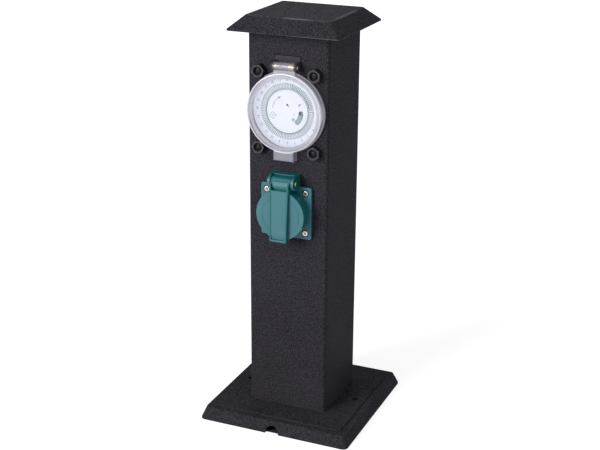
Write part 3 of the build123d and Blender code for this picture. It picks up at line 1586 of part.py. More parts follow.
os.makedirs("parts", exist_ok=True)
for node, make in pieces.items():
    save(make(), node)
save(tappet(sample_tappet), "sample_tappet")
springs = {
    "timer lid": (lid_spring_r, lid_spring_pitch, lid_spring_turns, lid_spring_wire_r),
    "socket lid": (socket_spring_r, socket_spring_pitch, socket_spring_turns, socket_spring_wire_r),
    "shutter": (shutter_spring_r, shutter_spring_pitch, shutter_spring_turns, shutter_spring_wire_r),
}
for name, sizes in springs.items():
    print(name, "spring's gap between turns", round(coil_gap(*sizes), 3))
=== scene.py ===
import json
from math import cos, pi, radians, sin

import bpy
import numpy as np
from mathutils import Matrix, Vector


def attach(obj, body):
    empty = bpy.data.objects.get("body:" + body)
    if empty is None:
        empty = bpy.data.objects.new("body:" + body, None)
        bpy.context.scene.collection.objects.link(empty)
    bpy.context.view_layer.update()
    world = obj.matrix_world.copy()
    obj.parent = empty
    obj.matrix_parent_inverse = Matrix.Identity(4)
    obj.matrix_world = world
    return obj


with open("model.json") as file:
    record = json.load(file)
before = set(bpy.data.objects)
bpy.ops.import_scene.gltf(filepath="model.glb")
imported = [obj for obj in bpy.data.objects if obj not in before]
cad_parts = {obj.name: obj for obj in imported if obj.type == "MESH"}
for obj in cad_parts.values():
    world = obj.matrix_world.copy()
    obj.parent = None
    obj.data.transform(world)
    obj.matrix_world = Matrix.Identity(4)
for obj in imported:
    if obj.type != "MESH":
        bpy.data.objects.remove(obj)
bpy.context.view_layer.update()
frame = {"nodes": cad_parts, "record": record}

mm = 0.001
dialHeight = 306.5  # mm, of the dial's axis
tappetCount = 96
smoothGrain = 900.0  # grains per metre in smooth plastic and in metal

# Camera of the photograph, with its frame taken as 600 x 450; angles in degrees, lengths in metres,
# lens and sensor in mm
view = {"azimuth": 23.12, "elevation": 19.78, "roll": 0.366, "distance": 1.1661,
        "side": -0.00385, "height": 0.18591, "lens": 73.54, "sensor": 36}


def addCamera():
    azimuth, elevation, roll = (radians(view[key]) for key in ("azimuth", "elevation", "roll"))
    back = Vector((sin(azimuth) * cos(elevation), -cos(azimuth) * cos(elevation), sin(elevation)))
    right = Vector((cos(azimuth), sin(azimuth), 0))
    data = bpy.data.cameras.new("camera")
    data.lens = view["lens"]
    data.sensor_width = view["sensor"]
    camera = bpy.data.objects.new("camera", data)
    turn = (-back).to_track_quat("-Z", "Y").to_matrix().to_4x4() @ Matrix.Rotation(roll, 4, "Z")
    turn.translation = Vector((0, 0, view["height"])) + right * view["side"] + back * view["distance"]
    camera.matrix_world = turn
    bpy.context.scene.collection.objects.link(camera)
    bpy.context.scene.camera = camera


# A value in a material's node tree, with the usual signs for shader maths
class Field:
    def __init__(self, tree, socket):
        self.tree = tree
        self.socket = socket

    def node(self, kind, settings=None, inputs=None, output=0):
        made = self.tree.nodes.new(kind)
        for key, value in (settings or {}).items():
            setattr(made, key, value)
        for key, value in (inputs or {}).items():
            if isinstance(value, Field):
                self.tree.links.new(value.socket, made.inputs[key])
            else:
                made.inputs[key].default_value = value
        return Field(self.tree, made.outputs[output])

    def math(self, operation, *others):
        return self.node("ShaderNodeMath", {"operation": operation}, dict(enumerate((self,) + others)))

    def __add__(self, other):
        return self.math("ADD", other)

    def __sub__(self, other):
        return self.math("SUBTRACT", other)

    def __rsub__(self, other):
        return self.node("ShaderNodeMath", {"operation": "SUBTRACT"}, {0: other, 1: self})

    def __mul__(self, other):
        return self.math("MULTIPLY", other)

    __radd__ = __add__
    __rmul__ = __mul__

    # Smooth step from none at the low limit to one at the high limit
    def ramp(self, low, high):
        names = {"Value": self, "From Min": low, "From Max": high}
        return self.node("ShaderNodeMapRange", {"interpolation_type": "SMOOTHSTEP"}, names)

    def noise(self, scale, detail=2.0, roughness=0.5):
        names = {"Vector": self, "Scale": scale, "Detail": detail, "Roughness": roughness}
        return self.node("ShaderNodeTexNoise", None, names)

    def part(self, axis):
        return self.node("ShaderNodeSeparateXYZ", None, {"Vector": self}, "XYZ".index(axis))

    # From one colour to another by this value; a colour is three numbers or another field
    def mix(self, low, high):
        low, high = (tone if isinstance(tone, Field) else (*tone, 1.0) for tone in (low, high))
        return self.node("ShaderNodeMix", {"data_type": "RGBA"}, {0: self, 6: low, 7: high}, 2)


# Material with fixed values on its shader's own sockets; also returns the place that patterns read
def newMaterial(name, **constants):
    material = bpy.data.materials.new(name)
    material.use_nodes = True
    tree = material.node_tree
    shader = tree.nodes["Principled BSDF"]
    for key, value in constants.items():
        shader.inputs[key.replace("_", " ")].default_value = value
    place = Field(tree, tree.nodes.new("ShaderNodeTexCoord").outputs["Object"])
    return material, shader, place


def drive(shader, key, field):
    field.tree.links.new(field.socket, shader.inputs[key])


def addBump(shader, height, strength, distance=0.0002):
    names = {"Strength": strength, "Distance": distance, "Height": height}
    drive(shader, "Normal", height.node("ShaderNodeBump", None, names))


# How far a place or a normal reaches to the front, where Y is negative
def forward(vector):
    return vector.part("Y") * -1.0


# Square root of the sum of two squares
def hypotenuse(across, up):
    return (across * across + up * up).math("SQRT")


# Distance from the dial's axis, in X and Z
def dialRadius(place):
    return hypotenuse(place.part("X"), place.part("Z") - dialHeight * mm)


# Half the side of the square, about the post's axis, on which a place lies: the larger of X and Y
def squareReach(place):
    return place.part("X").math("ABSOLUTE").math("MAXIMUM", place.part("Y").math("ABSOLUTE"))


# One for rays from the camera and those that clear or glossy pieces pass on, none for other light
def seenRays(tree):
    path = tree.nodes.new("ShaderNodeLightPath")
    kinds = ("Is Camera Ray", "Is Glossy Ray", "Is Transmission Ray")
    camera, glossy, passing = (Field(tree, path.outputs[kind]) for kind in kinds)
    return camera.math("MAXIMUM", glossy).math("MAXIMUM", passing)


# In the looks below a colour is its red, green and blue, and two colours in a pair are the darkest and
# the lightest of its clouds. A pair of numbers is where a mask starts and where it is full, in metres.

# By slot: name, dark and light colour, roughness, shine, grains per metre and strength of the grain
plastics = {
    "inner_black": ("innerBlack", (0.033, 0.0305, 0.038), (0.045, 0.042, 0.051), 0.42, 0.15, 1200.0, 0.2),
    "nut_black": ("nutBlack", (0.010, 0.010, 0.013), (0.018, 0.018, 0.022), 0.34, 0.5, 1000.0, 0.15),
    "dial_white": ("dialWhite", (0.70, 0.72, 0.81), (0.73, 0.75, 0.84), 0.36, 0.5, 900.0, 0.05),
    "grey_green": ("greyGreen", (0.23, 0.31, 0.31), (0.28, 0.36, 0.36), 0.4, 0.5, 900.0, 0.08),
    "seal_rubber": ("rubber", (0.010, 0.010, 0.011), (0.020, 0.020, 0.021), 0.7, 0.5, 1400.0, 0.2),
    "works_white": ("worksWhite", (0.66, 0.66, 0.62), (0.74, 0.74, 0.70), 0.45, 0.5, 900.0, 0.08),
    "works_ceramic": ("ceramic", (0.62, 0.58, 0.50), (0.72, 0.69, 0.61), 0.6, 0.5, 1100.0, 0.3),
    "gear_white": ("gearWhite", (0.78, 0.77, 0.71), (0.86, 0.85, 0.80), 0.4, 0.5, 900.0, 0.05),
    "wire_blue": ("wireBlue", (0.02, 0.07, 0.35), (0.04, 0.11, 0.42), 0.4, 0.5, 700.0, 0.05),
    "wire_brown": ("wireBrown", (0.10, 0.035, 0.015), (0.14, 0.05, 0.02), 0.4, 0.5, 700.0, 0.05),
}
studLook = ("studBlack", (0.003, 0.003, 0.004), (0.006, 0.006, 0.007), 0.3, 0.2, 900.0, 0.1)


# Moulded plastic: two close tones in soft clouds and fine specks, over a fine grain
def plastic(name, dark, light, roughness, shine, grainScale, grainStrength):
    material, shader, place = newMaterial(name, Specular_IOR_Level=shine)
    cloud = place.noise(26.0, 3.0)
    speck = place.noise(grainScale * 0.6, 2.0, 0.6)
    tone = (cloud * 0.6 + speck * 0.4).ramp(0.35, 0.65)
    drive(shader, "Base Color", tone.mix(dark, light))
    drive(shader, "Roughness", cloud.ramp(0.3, 0.7) * 0.1 + (roughness - 0.05))
    addBump(shader, place.noise(grainScale, 3.0, 0.55), grainStrength)
    return material


# By slot: name, dark and light colour, roughness
metals = {
    "brass": ("brass", (0.62, 0.42, 0.15), (0.78, 0.58, 0.26), 0.22),
    "bright_steel": ("steel", (0.50, 0.50, 0.52), (0.66, 0.66, 0.68), 0.25),
    "spring_steel": ("springSteel", (0.55, 0.56, 0.58), (0.70, 0.71, 0.73), 0.18),
    "motor_steel": ("motorSteel", (0.60, 0.60, 0.62), (0.72, 0.72, 0.74), 0.3),
}


# Metal: wide clouds in its tone, fine scratches in its roughness and height
def metal(name, dark, light, roughness):
    material, shader, place = newMaterial(name, Metallic=1.0)
    cloud = place.noise(smoothGrain * 0.2, 2.0)
    scratch = place.noise(smoothGrain, 4.0, 0.7)
    drive(shader, "Base Color", cloud.ramp(0.3, 0.7).mix(dark, light))
    drive(shader, "Roughness", scratch * 0.2 + roughness)
    addBump(shader, scratch, 0.05, 0.0001)
    return material


housingLook = {"valley": (0.0080, 0.0076, 0.0092), "peak": (0.061, 0.0575, 0.0700),
               "wornAndHighlight": (0.13, 0.125, 0.14), "grain": 1050.0, "blotch": 430.0, "cloud": 14.0,
               "grainShare": 0.74, "blotchShare": 0.16, "cloudShare": 0.1,
               "roughness": 0.62, "polish": 0.14, "shine": 0.01}


# Housing: coarse leather-like grain, whose peaks are paler and a little smoother than its valleys, with
# finer blotches and faint wide clouds, each by its share of the tone
def grainedHousing(name, wearAndHighlight=None):
    material, shader, place = newMaterial(name, Specular_IOR_Level=housingLook["shine"])
    grain = place.noise(housingLook["grain"], 2.0, 0.6)
    cloud = place.noise(housingLook["cloud"], 3.0).ramp(0.3, 0.7)
    peaks = grain.ramp(0.36, 0.70)
    blotch = place.noise(housingLook["blotch"], 3.0, 0.7).ramp(0.38, 0.62)
    tone = peaks * housingLook["grainShare"] + blotch * housingLook["blotchShare"]
    tone = tone + cloud * housingLook["cloudShare"]
    colour = tone.mix(housingLook["valley"], housingLook["peak"])
    # Pale lines, where given: partly wear and partly painted highlight
    if wearAndHighlight:
        colour = wearAndHighlight(place).mix(colour, housingLook["wornAndHighlight"])
    drive(shader, "Base Color", colour)
    drive(shader, "Roughness", housingLook["roughness"] - peaks * housingLook["polish"])
    addBump(shader, grain, 0.7, 0.0004)
    return material


capLook = {"ridgeHeight": (0.3890, 0.3894), "ridgeReach": (0.0392, 0.0397), "lipHeight": (0.3770, 0.3774),
           "patches": 32.0, "least": 0.15, "patchy": 0.7}


# Wear and painted highlight on the cap, by height: patchy pale lines along the ridge round its top and the
# rim's lower edge
def capWear(place):
    z = place.part("Z")
    ridge = z.ramp(*capLook["ridgeHeight"]) * squareReach(place).ramp(*capLook["ridgeReach"])
    lip = 1.0 - z.ramp(*capLook["lipHeight"])
    patches = place.noise(capLook["patches"], 2.0).ramp(0.42, 0.58)
    return ridge.math("MAXIMUM", lip) * (patches * capLook["patchy"] + capLook["least"])


# The band's half width is bandHalf at the height bandFoot, and bandSpread more for each metre above
# The front faces' paler colours are a painted sheen; the rails' share and the stripe are painted shade
tealLook = {"deep": ((0.002, 0.105, 0.110), (0.004, 0.120, 0.126)),
            "satin": ((0.050, 0.158, 0.182), (0.060, 0.176, 0.202)),
            "facing": (0.55, 0.95), "roughness": 0.24, "satinRoughness": 0.14,
            "bandFoot": 0.1886, "bandHalf": 0.0082, "bandSpread": 0.0227,
            "rail": (-0.0017, -0.0014), "railFront": (0.0581, 0.0584), "railShade": 0.55,
            "stripeFoot": (0.2371, 0.2373), "stripeTop": (0.2413, 0.2416), "stripeFront": (0.0545, 0.0550)}


# Teal plastic: its satin front faces carry a painted sheen that makes them paler than its glossy sides, told
# by the normal's own Y. The lid band's two rails get painted shade, a share of the sides' deeper tone,
# within 1.5 mm of a half width that grows with height. So does the stripe across the foot of its window,
# between two heights: painted shade in the window's recess.
def tealPlastic():
    material, shader, place = newMaterial("teal", Specular_IOR_Level=0.2, Coat_Weight=0.08,
                                          Coat_Roughness=0.2)
    normal = Field(place.tree, place.socket.node.outputs["Normal"])
    facing = forward(normal).ramp(*tealLook["facing"])
    cloud = place.noise(26.0, 3.0).ramp(0.3, 0.7)
    deep = cloud.mix(*tealLook["deep"])
    # Painted sheen: the front faces' paler colour
    satin = cloud.mix(*tealLook["satin"])
    z = place.part("Z")
    front = forward(place)
    bandHalf = (z - tealLook["bandFoot"]) * tealLook["bandSpread"] + tealLook["bandHalf"]
    side = (place.part("X").math("ABSOLUTE") - bandHalf).ramp(*tealLook["rail"])
    # Painted shade on the band's rails, a share of the sides' deeper tone
    rail = side * front.ramp(*tealLook["railFront"])
    # Painted shade in the recess across the foot of the band's window
    stripeShade = z.ramp(*tealLook["stripeFoot"]) * (1.0 - z.ramp(*tealLook["stripeTop"])) * (1.0 - side)
    stripeShade = stripeShade * front.ramp(*tealLook["stripeFront"])
    satin = (rail * tealLook["railShade"]).math("MAXIMUM", stripeShade).mix(satin, deep)
    drive(shader, "Base Color", facing.mix(deep, satin))
    roughness = facing * tealLook["satinRoughness"] + (cloud * 0.05 + tealLook["roughness"])
    drive(shader, "Roughness", roughness)
    addBump(shader, place.noise(smoothGrain, 3.0, 0.55), 0.08)
    return material


nutLook = {"side": ((0.008, 0.008, 0.010), (0.013, 0.013, 0.016)), "highlightEdge": (0.050, 0.048, 0.056),
           "edgeFront": (0.0445, 0.0450), "roughness": 0.34}


# Nuts: near black, with a painted highlight on their front edges
def nutMaterial():
    material, shader, place = newMaterial("nut", Specular_IOR_Level=0.15)
    tone = place.noise(smoothGrain, 2.0).ramp(0.3, 0.7)
    # Painted highlight on the front edges
    highlightEdge = forward(place).ramp(*nutLook["edgeFront"])
    drive(shader, "Base Color", highlightEdge.mix(tone.mix(*nutLook["side"]), nutLook["highlightEdge"]))
    drive(shader, "Roughness", tone * 0.1 + nutLook["roughness"])
    addBump(shader, place.noise(1000.0, 3.0), 0.1)
    return material


# Socket's corner screws: height of the socket's middle and their distance from it each way, in metres
screwLook = {"bright": ((0.48, 0.45, 0.45), (0.66, 0.62, 0.62)), "dark": (0.05, 0.05, 0.05),
             "middle": 0.2135, "reach": 0.019, "recess": (0.0008, 0.0012), "rim": (0.0024, 0.0027),
             "shadeShare": 0.85, "roughness": 0.22}


# Bright metal with painted shade in its recess and a painted shadow round its rim, told by the distance from
# the nearest screw's axis
def screwMaterial():
    material, shader, place = newMaterial("cornerScrew", Metallic=1.0)
    x = place.part("X").math("ABSOLUTE") - screwLook["reach"]
    z = (place.part("Z") - screwLook["middle"]).math("ABSOLUTE") - screwLook["reach"]
    radius = hypotenuse(x, z)
    # Painted shade in the recess and a painted shadow round the rim
    dark = (1.0 - radius.ramp(*screwLook["recess"])).math("MAXIMUM", radius.ramp(*screwLook["rim"]))
    cloud = place.noise(700.0, 3.0).ramp(0.3, 0.7)
    bright = cloud.mix(*screwLook["bright"])
    drive(shader, "Base Color", (dark * screwLook["shadeShare"]).mix(bright, screwLook["dark"]))
    drive(shader, "Roughness", cloud * 0.15 + screwLook["roughness"])
    addBump(shader, place.noise(smoothGrain, 4.0, 0.7), 0.05, 0.0001)
    return material


# How much each region of the lid covers what lies behind it, its colours, and the regions' limits
lidCover = {"pane": 0.02, "haze": 0.03, "wall": 0.60, "highlightEdge": 0.22, "tab": 0.72, "knuckle": 0.3,
            "neck": 0.62, "most": 0.95}
lidLook = {"body": ((0.38, 0.375, 0.44), (0.43, 0.425, 0.49)), "tab": (0.25, 0.25, 0.30),
           "highlightEdge": (0.70, 0.70, 0.76), "edgeInner": (0.0345, 0.0352), "edgeOuter": (0.0362, 0.0364),
           "front": (0.0478, 0.0488), "wall": (0.0305, 0.0313), "wallLean": 0.02,
           "tabTop": (0.2698, 0.2706), "knuckle": (0.3425, 0.3435),
           "neckFoot": (0.3395, 0.3405), "neckTop": (0.3440, 0.3452), "shadowLoss": 0.85, "roughness": 0.12}


# Clear lid: nearly bare over the dial, milkier with distance from its axis, with a painted highlight on the
# front edge.
# The tab below and the neck and knuckle above have their own cover, taken by height. The milky wall
# reaches a little further in on the left, by the lean times X. Little of the cover casts a shadow.
def clearPlastic():
    material, shader, place = newMaterial("clearLid", IOR=1.49, Coat_Weight=0.5, Coat_Roughness=0.08)
    radius = dialRadius(place)
    z = place.part("Z")
    haze = place.noise(60.0, 3.0).ramp(0.3, 0.7)
    # Painted highlight on the front edge: a pale ring that also covers more
    highlightEdge = forward(place).ramp(*lidLook["front"]) * radius.ramp(*lidLook["edgeInner"])
    highlightEdge = highlightEdge * (1.0 - radius.ramp(*lidLook["edgeOuter"]))
    wall = (radius - place.part("X") * lidLook["wallLean"]).ramp(*lidLook["wall"])
    tab = 1.0 - z.ramp(*lidLook["tabTop"])
    knuckle = z.ramp(*lidLook["knuckle"])
    neck = z.ramp(*lidLook["neckFoot"]) * (1.0 - z.ramp(*lidLook["neckTop"]))
    cover = wall * lidCover["wall"] + highlightEdge * lidCover["highlightEdge"] + haze * lidCover["haze"] + lidCover["pane"]
    cover = (cover * (1.0 - knuckle)).math("MAXIMUM", tab * lidCover["tab"])
    cover = cover.math("MAXIMUM", knuckle * lidCover["knuckle"]).math("MAXIMUM", neck * lidCover["neck"])
    shadowRay = place.node("ShaderNodeLightPath", None, None, "Is Shadow Ray")
    shadow = 1.0 - shadowRay * lidLook["shadowLoss"]
    drive(shader, "Alpha", cover.math("MINIMUM", lidCover["most"]) * shadow)
    body = tab.mix(haze.mix(*lidLook["body"]), lidLook["tab"])
    drive(shader, "Base Color", highlightEdge.mix(body, lidLook["highlightEdge"]))
    drive(shader, "Roughness", haze * 0.06 + lidLook["roughness"])
    return material


# The limits of the pushed ones are in radians clockwise of the top, those of a side in tappet widths
tappetLook = {"pale": ((0.72, 0.76, 0.82), (0.77, 0.81, 0.87)), "paleSideShade": (0.32, 0.40, 0.42),
              "pushedShade": ((0.62, 0.70, 0.74), (0.66, 0.74, 0.78)), "pushedSideShade": (0.14, 0.21, 0.21),
              "pushedFrom": (0.19, 0.21), "pushedTo": (1.37, 1.39), "side": (0.26, 0.36), "roughness": 0.4}


# Tappets are pale with painted shade on their sides, where shade falls between them, told by the fraction of
# the angle counted in tappets; those pushed in get painted shade and look greyer. Adding 100 keeps that
# count above nought.
def tappetMaterial():
    material, shader, place = newMaterial("tappet")
    angle = place.part("X").math("ARCTAN2", place.part("Z") - dialHeight * mm)
    # Painted shade on the pushed tappets
    pushed = angle.ramp(*tappetLook["pushedFrom"]) * (1.0 - angle.ramp(*tappetLook["pushedTo"]))
    phase = (angle * (tappetCount / (2 * pi)) + 100.0).math("FRACT")
    # Painted shade on each tappet's sides
    side = (phase - 0.5).math("ABSOLUTE").ramp(*tappetLook["side"])
    tone = place.noise(smoothGrain, 2.0).ramp(0.3, 0.7)
    pale = side.mix(tone.mix(*tappetLook["pale"]), tappetLook["paleSideShade"])
    pushedShade = side.mix(tone.mix(*tappetLook["pushedShade"]), tappetLook["pushedSideShade"])
    drive(shader, "Base Color", pushed.mix(pale, pushedShade))
    drive(shader, "Roughness", tone * 0.1 + tappetLook["roughness"])
    return material


ringLook = {"white": ((0.70, 0.72, 0.81), (0.73, 0.75, 0.84)),
            "rim": ((0.46, 0.56, 0.58), (0.52, 0.62, 0.64)),
            "groove": ((0.12, 0.19, 0.18), (0.16, 0.24, 0.23)),
            "rimRadius": (0.0210, 0.0213), "grooveRadius": (0.0253, 0.0256),
            "grooveDepth": (-0.0400, -0.0392), "roughness": 0.34}


# Dial ring: white, with grey-green painted shade on its groove floor between the tappets and on its inner
# rim, told apart by radius and depth
def dialRingMaterial():
    material, shader, place = newMaterial("dialRing")
    radius = dialRadius(place)
    # Painted shade on the inner rim and on the groove floor between the tappets
    rim = 1.0 - radius.ramp(*ringLook["rimRadius"])
    groove = 1.0 - radius.ramp(*ringLook["grooveRadius"])
    groove = groove * place.part("Y").ramp(*ringLook["grooveDepth"])
    tone = place.noise(smoothGrain, 2.0).ramp(0.35, 0.65)
    white, rimShade, grooveShade = (tone.mix(*ringLook[key]) for key in ("white", "rim", "groove"))
    drive(shader, "Base Color", groove.mix(rim.mix(white, rimShade), grooveShade))
    drive(shader, "Roughness", tone * 0.08 + ringLook["roughness"])
    addBump(shader, place.noise(smoothGrain, 3.0), 0.05)
    return material


bezelLook = {"white": ((0.72, 0.74, 0.83), (0.76, 0.78, 0.87)), "border": (0.36, 0.355, 0.42),
             "borderRadius": (0.0332, 0.0334), "roughness": 0.36}


# Ring round the dial: white like the dial, with a grey outer border
def bezelMaterial():
    material, shader, place = newMaterial("bezel")
    border = dialRadius(place).ramp(*bezelLook["borderRadius"])
    tone = place.noise(smoothGrain, 2.0).ramp(0.35, 0.65)
    drive(shader, "Base Color", border.mix(tone.mix(*bezelLook["white"]), bezelLook["border"]))
    drive(shader, "Roughness", tone * 0.08 + bezelLook["roughness"])
    return material


earthLook = {"green": (0.06, 0.28, 0.05), "yellow": (0.80, 0.65, 0.04),
             "perHeight": 900.0, "perBreadth": 500.0, "roughness": 0.35}


# Earth wire: two colours in slanting bands, by the sine of height and breadth, each times its number
def earthMaterial():
    material, shader, place = newMaterial("wireEarth")
    wave = place.part("Z") * earthLook["perHeight"] + place.part("X") * earthLook["perBreadth"]
    bands = wave.math("SINE").ramp(-0.2, 0.2)
    drive(shader, "Base Color", bands.mix(earthLook["green"], earthLook["yellow"]))
    drive(shader, "Roughness", place.noise(300.0) * 0.2 + earthLook["roughness"])
    return material


def makeMaterials():
    made = {slot: plastic(*look) for slot, look in plastics.items()}
    made.update({slot: metal(*look) for slot, look in metals.items()})
    made["housing_black"] = grainedHousing("housing")
    made["teal_plastic"] = tealPlastic()
    made["wire_earth"] = earthMaterial()
    made["clear_plastic"] = clearPlastic()
    made["bezel_grey"] = bezelMaterial()
    return made


# Some nodes have a finish of their own, the others their slot's
def dressNodes(materials):
    own = {"tappets": tappetMaterial(), "dial_ring": dialRingMaterial(), "flange_screws": screwMaterial(),
           "roof_cap": grainedHousing("cap", capWear), "hex_nuts": nutMaterial(),
           "timer_studs": plastic(*studLook)}
    own["sample_tappet"] = own["tappets"]
    slots = {part["node"]: part["material_slot"] for part in frame["record"]["subparts"]}
    for node, solid in frame["nodes"].items():
        material = own.get(node) or materials[slots[node]]
        if not solid.material_slots:
            solid.data.materials.append(material)
        for slot in solid.material_slots:
            slot.material = material


# Prints on the dial, in mm; a front is the Y that a print reaches
dialPrint = {"size": 3.5, "narrow": 0.85, "radius": 29.0, "topHour": 20, "rise": 0.02, "stroke": 0.05,
             "numeralsFront": -40.4, "marksFront": -40.44, "thickness": 0.05,
             "tickHalf": 0.13, "tickInner": 25.6, "tickOuter": 26.3, "hourTickOuter": 26.8}


# Piece from points in mm and faces, with its place in its mesh
def addMesh(name, points, faces, material):
    mesh = bpy.data.meshes.new(name)
    mesh.from_pydata((points * mm).tolist(), [], faces)
    mesh.materials.append(material)
    piece = bpy.data.objects.new(name, mesh)
    bpy.context.scene.collection.objects.link(piece)
    return piece


# A flat print: every outline, in X and Z from the dial's axis, becomes a closed plate between two
# depths. Front and back copies of the outline are joined by a ring of four-sided faces.
def printPiece(name, outlines, material, body):
    points = []
    faces = []
    start = 0
    for outline in outlines:
        flat = np.asarray(outline, float) + (0, dialHeight)
        count = len(flat)
        depth = np.full(count, dialPrint["marksFront"])
        front = np.column_stack((flat[:, 0], depth, flat[:, 1]))
        points += [front, front + (0, dialPrint["thickness"], 0)]
        ring = np.arange(count)
        after = (ring + 1) % count
        faces += [(ring + start).tolist(), (ring[::-1] + start + count).tolist()]
        sides = np.column_stack((after, ring, ring + count, after + count)) + start
        faces += sides.tolist()
        start += 2 * count
    piece = addMesh(name, np.concatenate(points), faces, material)
    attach(piece, body)


# Closed band between two radii and two angles, counted anticlockwise from +X: out along one arc and
# back along the other
def bandOutline(radii, low, high, middle=(0, 0), steps=24):
    angles = np.radians(np.linspace(low, high, steps))
    arc = np.column_stack((np.cos(angles), np.sin(angles)))
    return np.concatenate((arc * radii[1], arc[::-1] * radii[0])) + middle


# Whole ring, as bands that meet end to end
def ringOutlines(radii, middle=(0, 0), pieces=4):
    step = 360 / pieces
    return [bandOutline(radii, i * step, (i + 1) * step, middle) for i in range(pieces)]


# Outline turned anticlockwise about the dial's axis
def turnOutline(outline, angle):
    c, s = cos(radians(angle)), sin(radians(angle))
    return np.asarray(outline, float) @ np.array(((c, s), (-s, c)))


# Tick at the top of the dial, from an inner to an outer radius
def tickOutline(half, inner, outer):
    return [(-half, inner), (half, inner), (half, outer), (-half, outer)]


# Straight bar from one point to another: each end moved sideways by half the width, both ways
def barOutline(start, end, width, middle=(0, 0)):
    start, end = np.add(start, middle), np.add(end, middle)
    along = end - start
    side = np.array((-along[1], along[0])) * width / 2 / np.hypot(*along)
    return np.array((start + side, end + side, end - side, start - side))


# Numerals of the day, one each 15 degrees, with their feet towards the dial's middle
def dialNumerals(material):
    points = []
    faces = []
    start = 0
    for hour in range(1, 25):
        curve = bpy.data.curves.new("numeral", "FONT")
        curve.body = str(hour)
        curve.align_x = "CENTER"
        curve.align_y = "CENTER"
        curve.size = dialPrint["size"]
        curve.extrude = dialPrint["rise"]
        curve.offset = dialPrint["stroke"]
        carrier = bpy.data.objects.new("numeral", curve)
        bpy.context.scene.collection.objects.link(carrier)
        bpy.context.view_layer.update()
        mesh = bpy.data.meshes.new_from_object(carrier)
        count = len(mesh.vertices)
        flat = np.empty(count * 3)
        mesh.vertices.foreach_get("co", flat)
        flat = flat.reshape(-1, 3) * (dialPrint["narrow"], 1, 1)
        clockwise = (hour - dialPrint["topHour"]) * 360 / 24
        turned = turnOutline(flat[:, :2] + (0, dialPrint["radius"]), -clockwise)
        depth = dialPrint["numeralsFront"] - flat[:, 2]
        points.append(np.column_stack((turned[:, 0], depth, turned[:, 1] + dialHeight)))
        faces += [[i + start for i in face.vertices] for face in mesh.polygons]
        start += count
        bpy.data.objects.remove(carrier)
        bpy.data.curves.remove(curve)
        bpy.data.meshes.remove(mesh)
    piece = addMesh("dialNumerals", np.concatenate(points), faces, material)
    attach(piece, "dial")


# One tick for each tappet, every fourth longer
def dialMarks(material):
    ticks = []
    for i in range(tappetCount):
        outer = dialPrint["hourTickOuter"] if i % 4 == 0 else dialPrint["tickOuter"]
        tick = tickOutline(dialPrint["tickHalf"], dialPrint["tickInner"], outer)
        ticks.append(turnOutline(tick, -360 / tappetCount * i))
    printPiece("dialTicks", ticks, material, "dial")


# The centre face's marks, in mm and degrees from the dial's axis: X to the right and Z up
centreFace = {"rim": (19.7, 20.0), "ticks": 48, "tickHalf": 0.12, "tickInner": 18.3, "tickOuter": 19.0,
              "arrowRadii": (14.2, 14.6), "arrowAngles": (124, 172),
              "arrowHead": [(13.2, 0.4), (15.5, 0.4), (14.3, -2.3)],
              "pointer": [(10.7, 7.3), (11.2, 5.1), (13.7, 8.0)],
              "clock": (-14.0, -4.7), "clockHalf": 3.3, "clockTurn": 8, "clockLine": 0.38,
              "hands": [((-0.9, -0.5), (0.1, 0.6)), ((-0.1, 0.5), (1.2, -0.4))], "handLine": 0.5,
              "on": ((6.6, -3.5), (6.6, -1.3)), "onLine": 0.6,
              "off": (5.8, -7.1), "offRadii": (0.8, 1.4), "offTick": (5.8, -6.1), "offLine": 0.4,
              "spot": (0, 6.1), "spotRadii": (0.2, 0.95), "tail": ((0.7, 5.5), (2.0, 4.1)), "tailLine": 0.55}


# Marks on the fixed centre face: a ring of painted shade at its rim, with printed ticks, turning arrow, time
# pointer, a clock sign of four bars and two hands, and the switch's on and off signs
def centreMarks(material):
    face = centreFace
    # Painted shade: a ring where the face steps down at its rim
    rim = ringOutlines(face["rim"], pieces=8)
    tick = tickOutline(face["tickHalf"], face["tickInner"], face["tickOuter"])
    rim += [turnOutline(tick, 360 / face["ticks"] * i) for i in range(face["ticks"])]
    printPiece("centreRimShadeAndTicks", rim, material, "post")
    signs = [bandOutline(face["arrowRadii"], *face["arrowAngles"])]
    signs.append(turnOutline(face["arrowHead"], face["arrowAngles"][0]))
    signs.append(face["pointer"])
    corners = [turnOutline([(face["clockHalf"], 0)], 90 * i + face["clockTurn"])[0] for i in range(5)]
    for start, end in zip(corners, corners[1:]):
        signs.append(barOutline(start, end, face["clockLine"], face["clock"]))
    for start, end in face["hands"]:
        signs.append(barOutline(start, end, face["handLine"], face["clock"]))
    signs.append(barOutline(*face["on"], face["onLine"]))
    signs += ringOutlines(face["offRadii"], face["off"])
    signs.append(barOutline(face["off"], face["offTick"], face["offLine"]))
    printPiece("centreSigns", signs, material, "post")


# Painted shade in the face's small hole: a dark spot with a short tail to its lower right
def holeMark(material):
    outlines = ringOutlines(centreFace["spotRadii"], centreFace["spot"])
    outlines.append(barOutline(*centreFace["tail"], centreFace["tailLine"]))
    printPiece("holeMark", outlines, material, "post")


inks = {"inkGreen": ((0.13, 0.22, 0.23), (0.17, 0.27, 0.28)),
        "holeShadeViolet": ((0.06, 0.04, 0.08), (0.10, 0.07, 0.13)),
        "inkPale": ((0.19, 0.30, 0.33), (0.24, 0.35, 0.38))}


# Print, and the painted shade in the face's hole: two close tones in fine specks
def inkMaterial(name):
    material, shader, place = newMaterial(name)
    drive(shader, "Base Color", place.noise(1200.0, 2.0).ramp(0.3, 0.7).mix(*inks[name]))
    drive(shader, "Roughness", place.noise(500.0) * 0.15 + 0.4)
    return material


# Floor: half its side and its height in mm, limits in metres by reach from the post's axis
floorLook = {"half": 8000, "height": -0.1, "base": (0.072, 0.074), "fade": (0.4, 1.8),
             "nearGlow": (0.74, 0.74, 0.74), "farGlow": (1, 1, 1),
             "shade": (0.05, 0.05, 0.05), "tone": (0.6, 0.6, 0.6)}
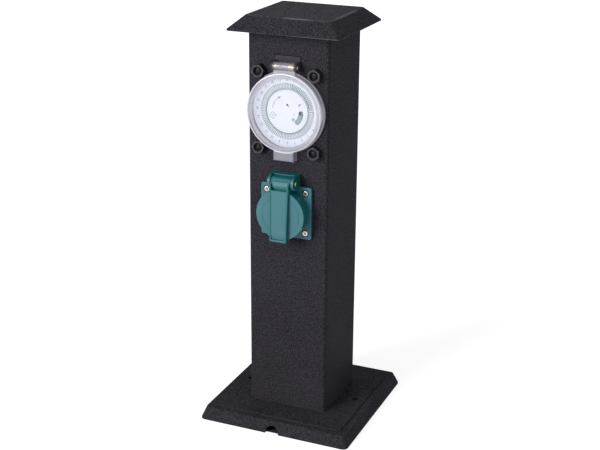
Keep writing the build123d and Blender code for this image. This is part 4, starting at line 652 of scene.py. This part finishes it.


# Floor: its glow, seen by the camera and through or in glossy pieces, grows to white with distance, and
# under the base it has no glow and painted shade, so that the cable notch looks dark
def addStage():
    material, shader, place = newMaterial("floor", Roughness=0.9, Emission_Strength=1.0,
                                          Specular_IOR_Level=0.0)
    away = squareReach(place).ramp(*floorLook["base"])
    far = hypotenuse(place.part("X"), place.part("Y")).ramp(*floorLook["fade"])
    glow = far.mix(floorLook["nearGlow"], floorLook["farGlow"])
    drive(shader, "Emission Color", (seenRays(place.tree) * away).mix((0, 0, 0), glow))
    # Painted shade on the floor under the base
    drive(shader, "Base Color", away.mix(floorLook["shade"], floorLook["tone"]))
    signs = np.array(((-1, -1), (1, -1), (1, 1), (-1, 1)))
    corners = np.column_stack((signs * floorLook["half"], np.full(4, floorLook["height"])))
    floor = addMesh("floor", corners, [(0, 1, 2, 3)], material)


# Square lamps: place, target and side in metres, power in watts
lamps = {"key": {"place": (-0.8, -1.6, 0.9), "target": (0, 0, 0.22), "side": 0.9, "power": 33},
         "fill": {"place": (1.4, -0.7, 0.8), "target": (0, 0, 0.2), "side": 1.2, "power": 5},
         "top": {"place": (0.1, 0.2, 1.8), "target": (0, 0, 0.2), "side": 1.2, "power": 0.5}}
worldLook = {"light": (0.31, 0.31, 0.33), "backdrop": (1, 1, 1)}


# Lamps, and a world that lights the part with one colour and shows the camera another
def addLight():
    world = bpy.data.worlds.new("world")
    bpy.context.scene.world = world
    world.use_nodes = True
    tree = world.node_tree
    colour = seenRays(tree).mix(worldLook["light"], worldLook["backdrop"])
    tree.links.new(colour.socket, tree.nodes["Background"].inputs["Color"])
    for name, look in lamps.items():
        data = bpy.data.lights.new(name, "AREA")
        data.energy = look["power"]
        data.size = look["side"]
        lamp = bpy.data.objects.new(name, data)
        lamp.location = look["place"]
        lamp.rotation_mode = "QUATERNION"
        lamp.rotation_quaternion = (Vector(look["target"]) - Vector(look["place"])).to_track_quat("-Z", "Y")
        bpy.context.scene.collection.objects.link(lamp)


bpy.context.scene.view_settings.view_transform = "Standard"
addCamera()
print("camera set")
dressNodes(makeMaterials())
print("materials on", len(frame["nodes"]), "nodes")
inkPale = inkMaterial("inkPale")
dialNumerals(inkPale)
dialMarks(inkPale)
centreMarks(inkMaterial("inkGreen"))
# Painted shade in the face's hole
holeMark(inkMaterial("holeShadeViolet"))
print("dial printed")
addStage()
addLight()
print("floor, lamps and world set")
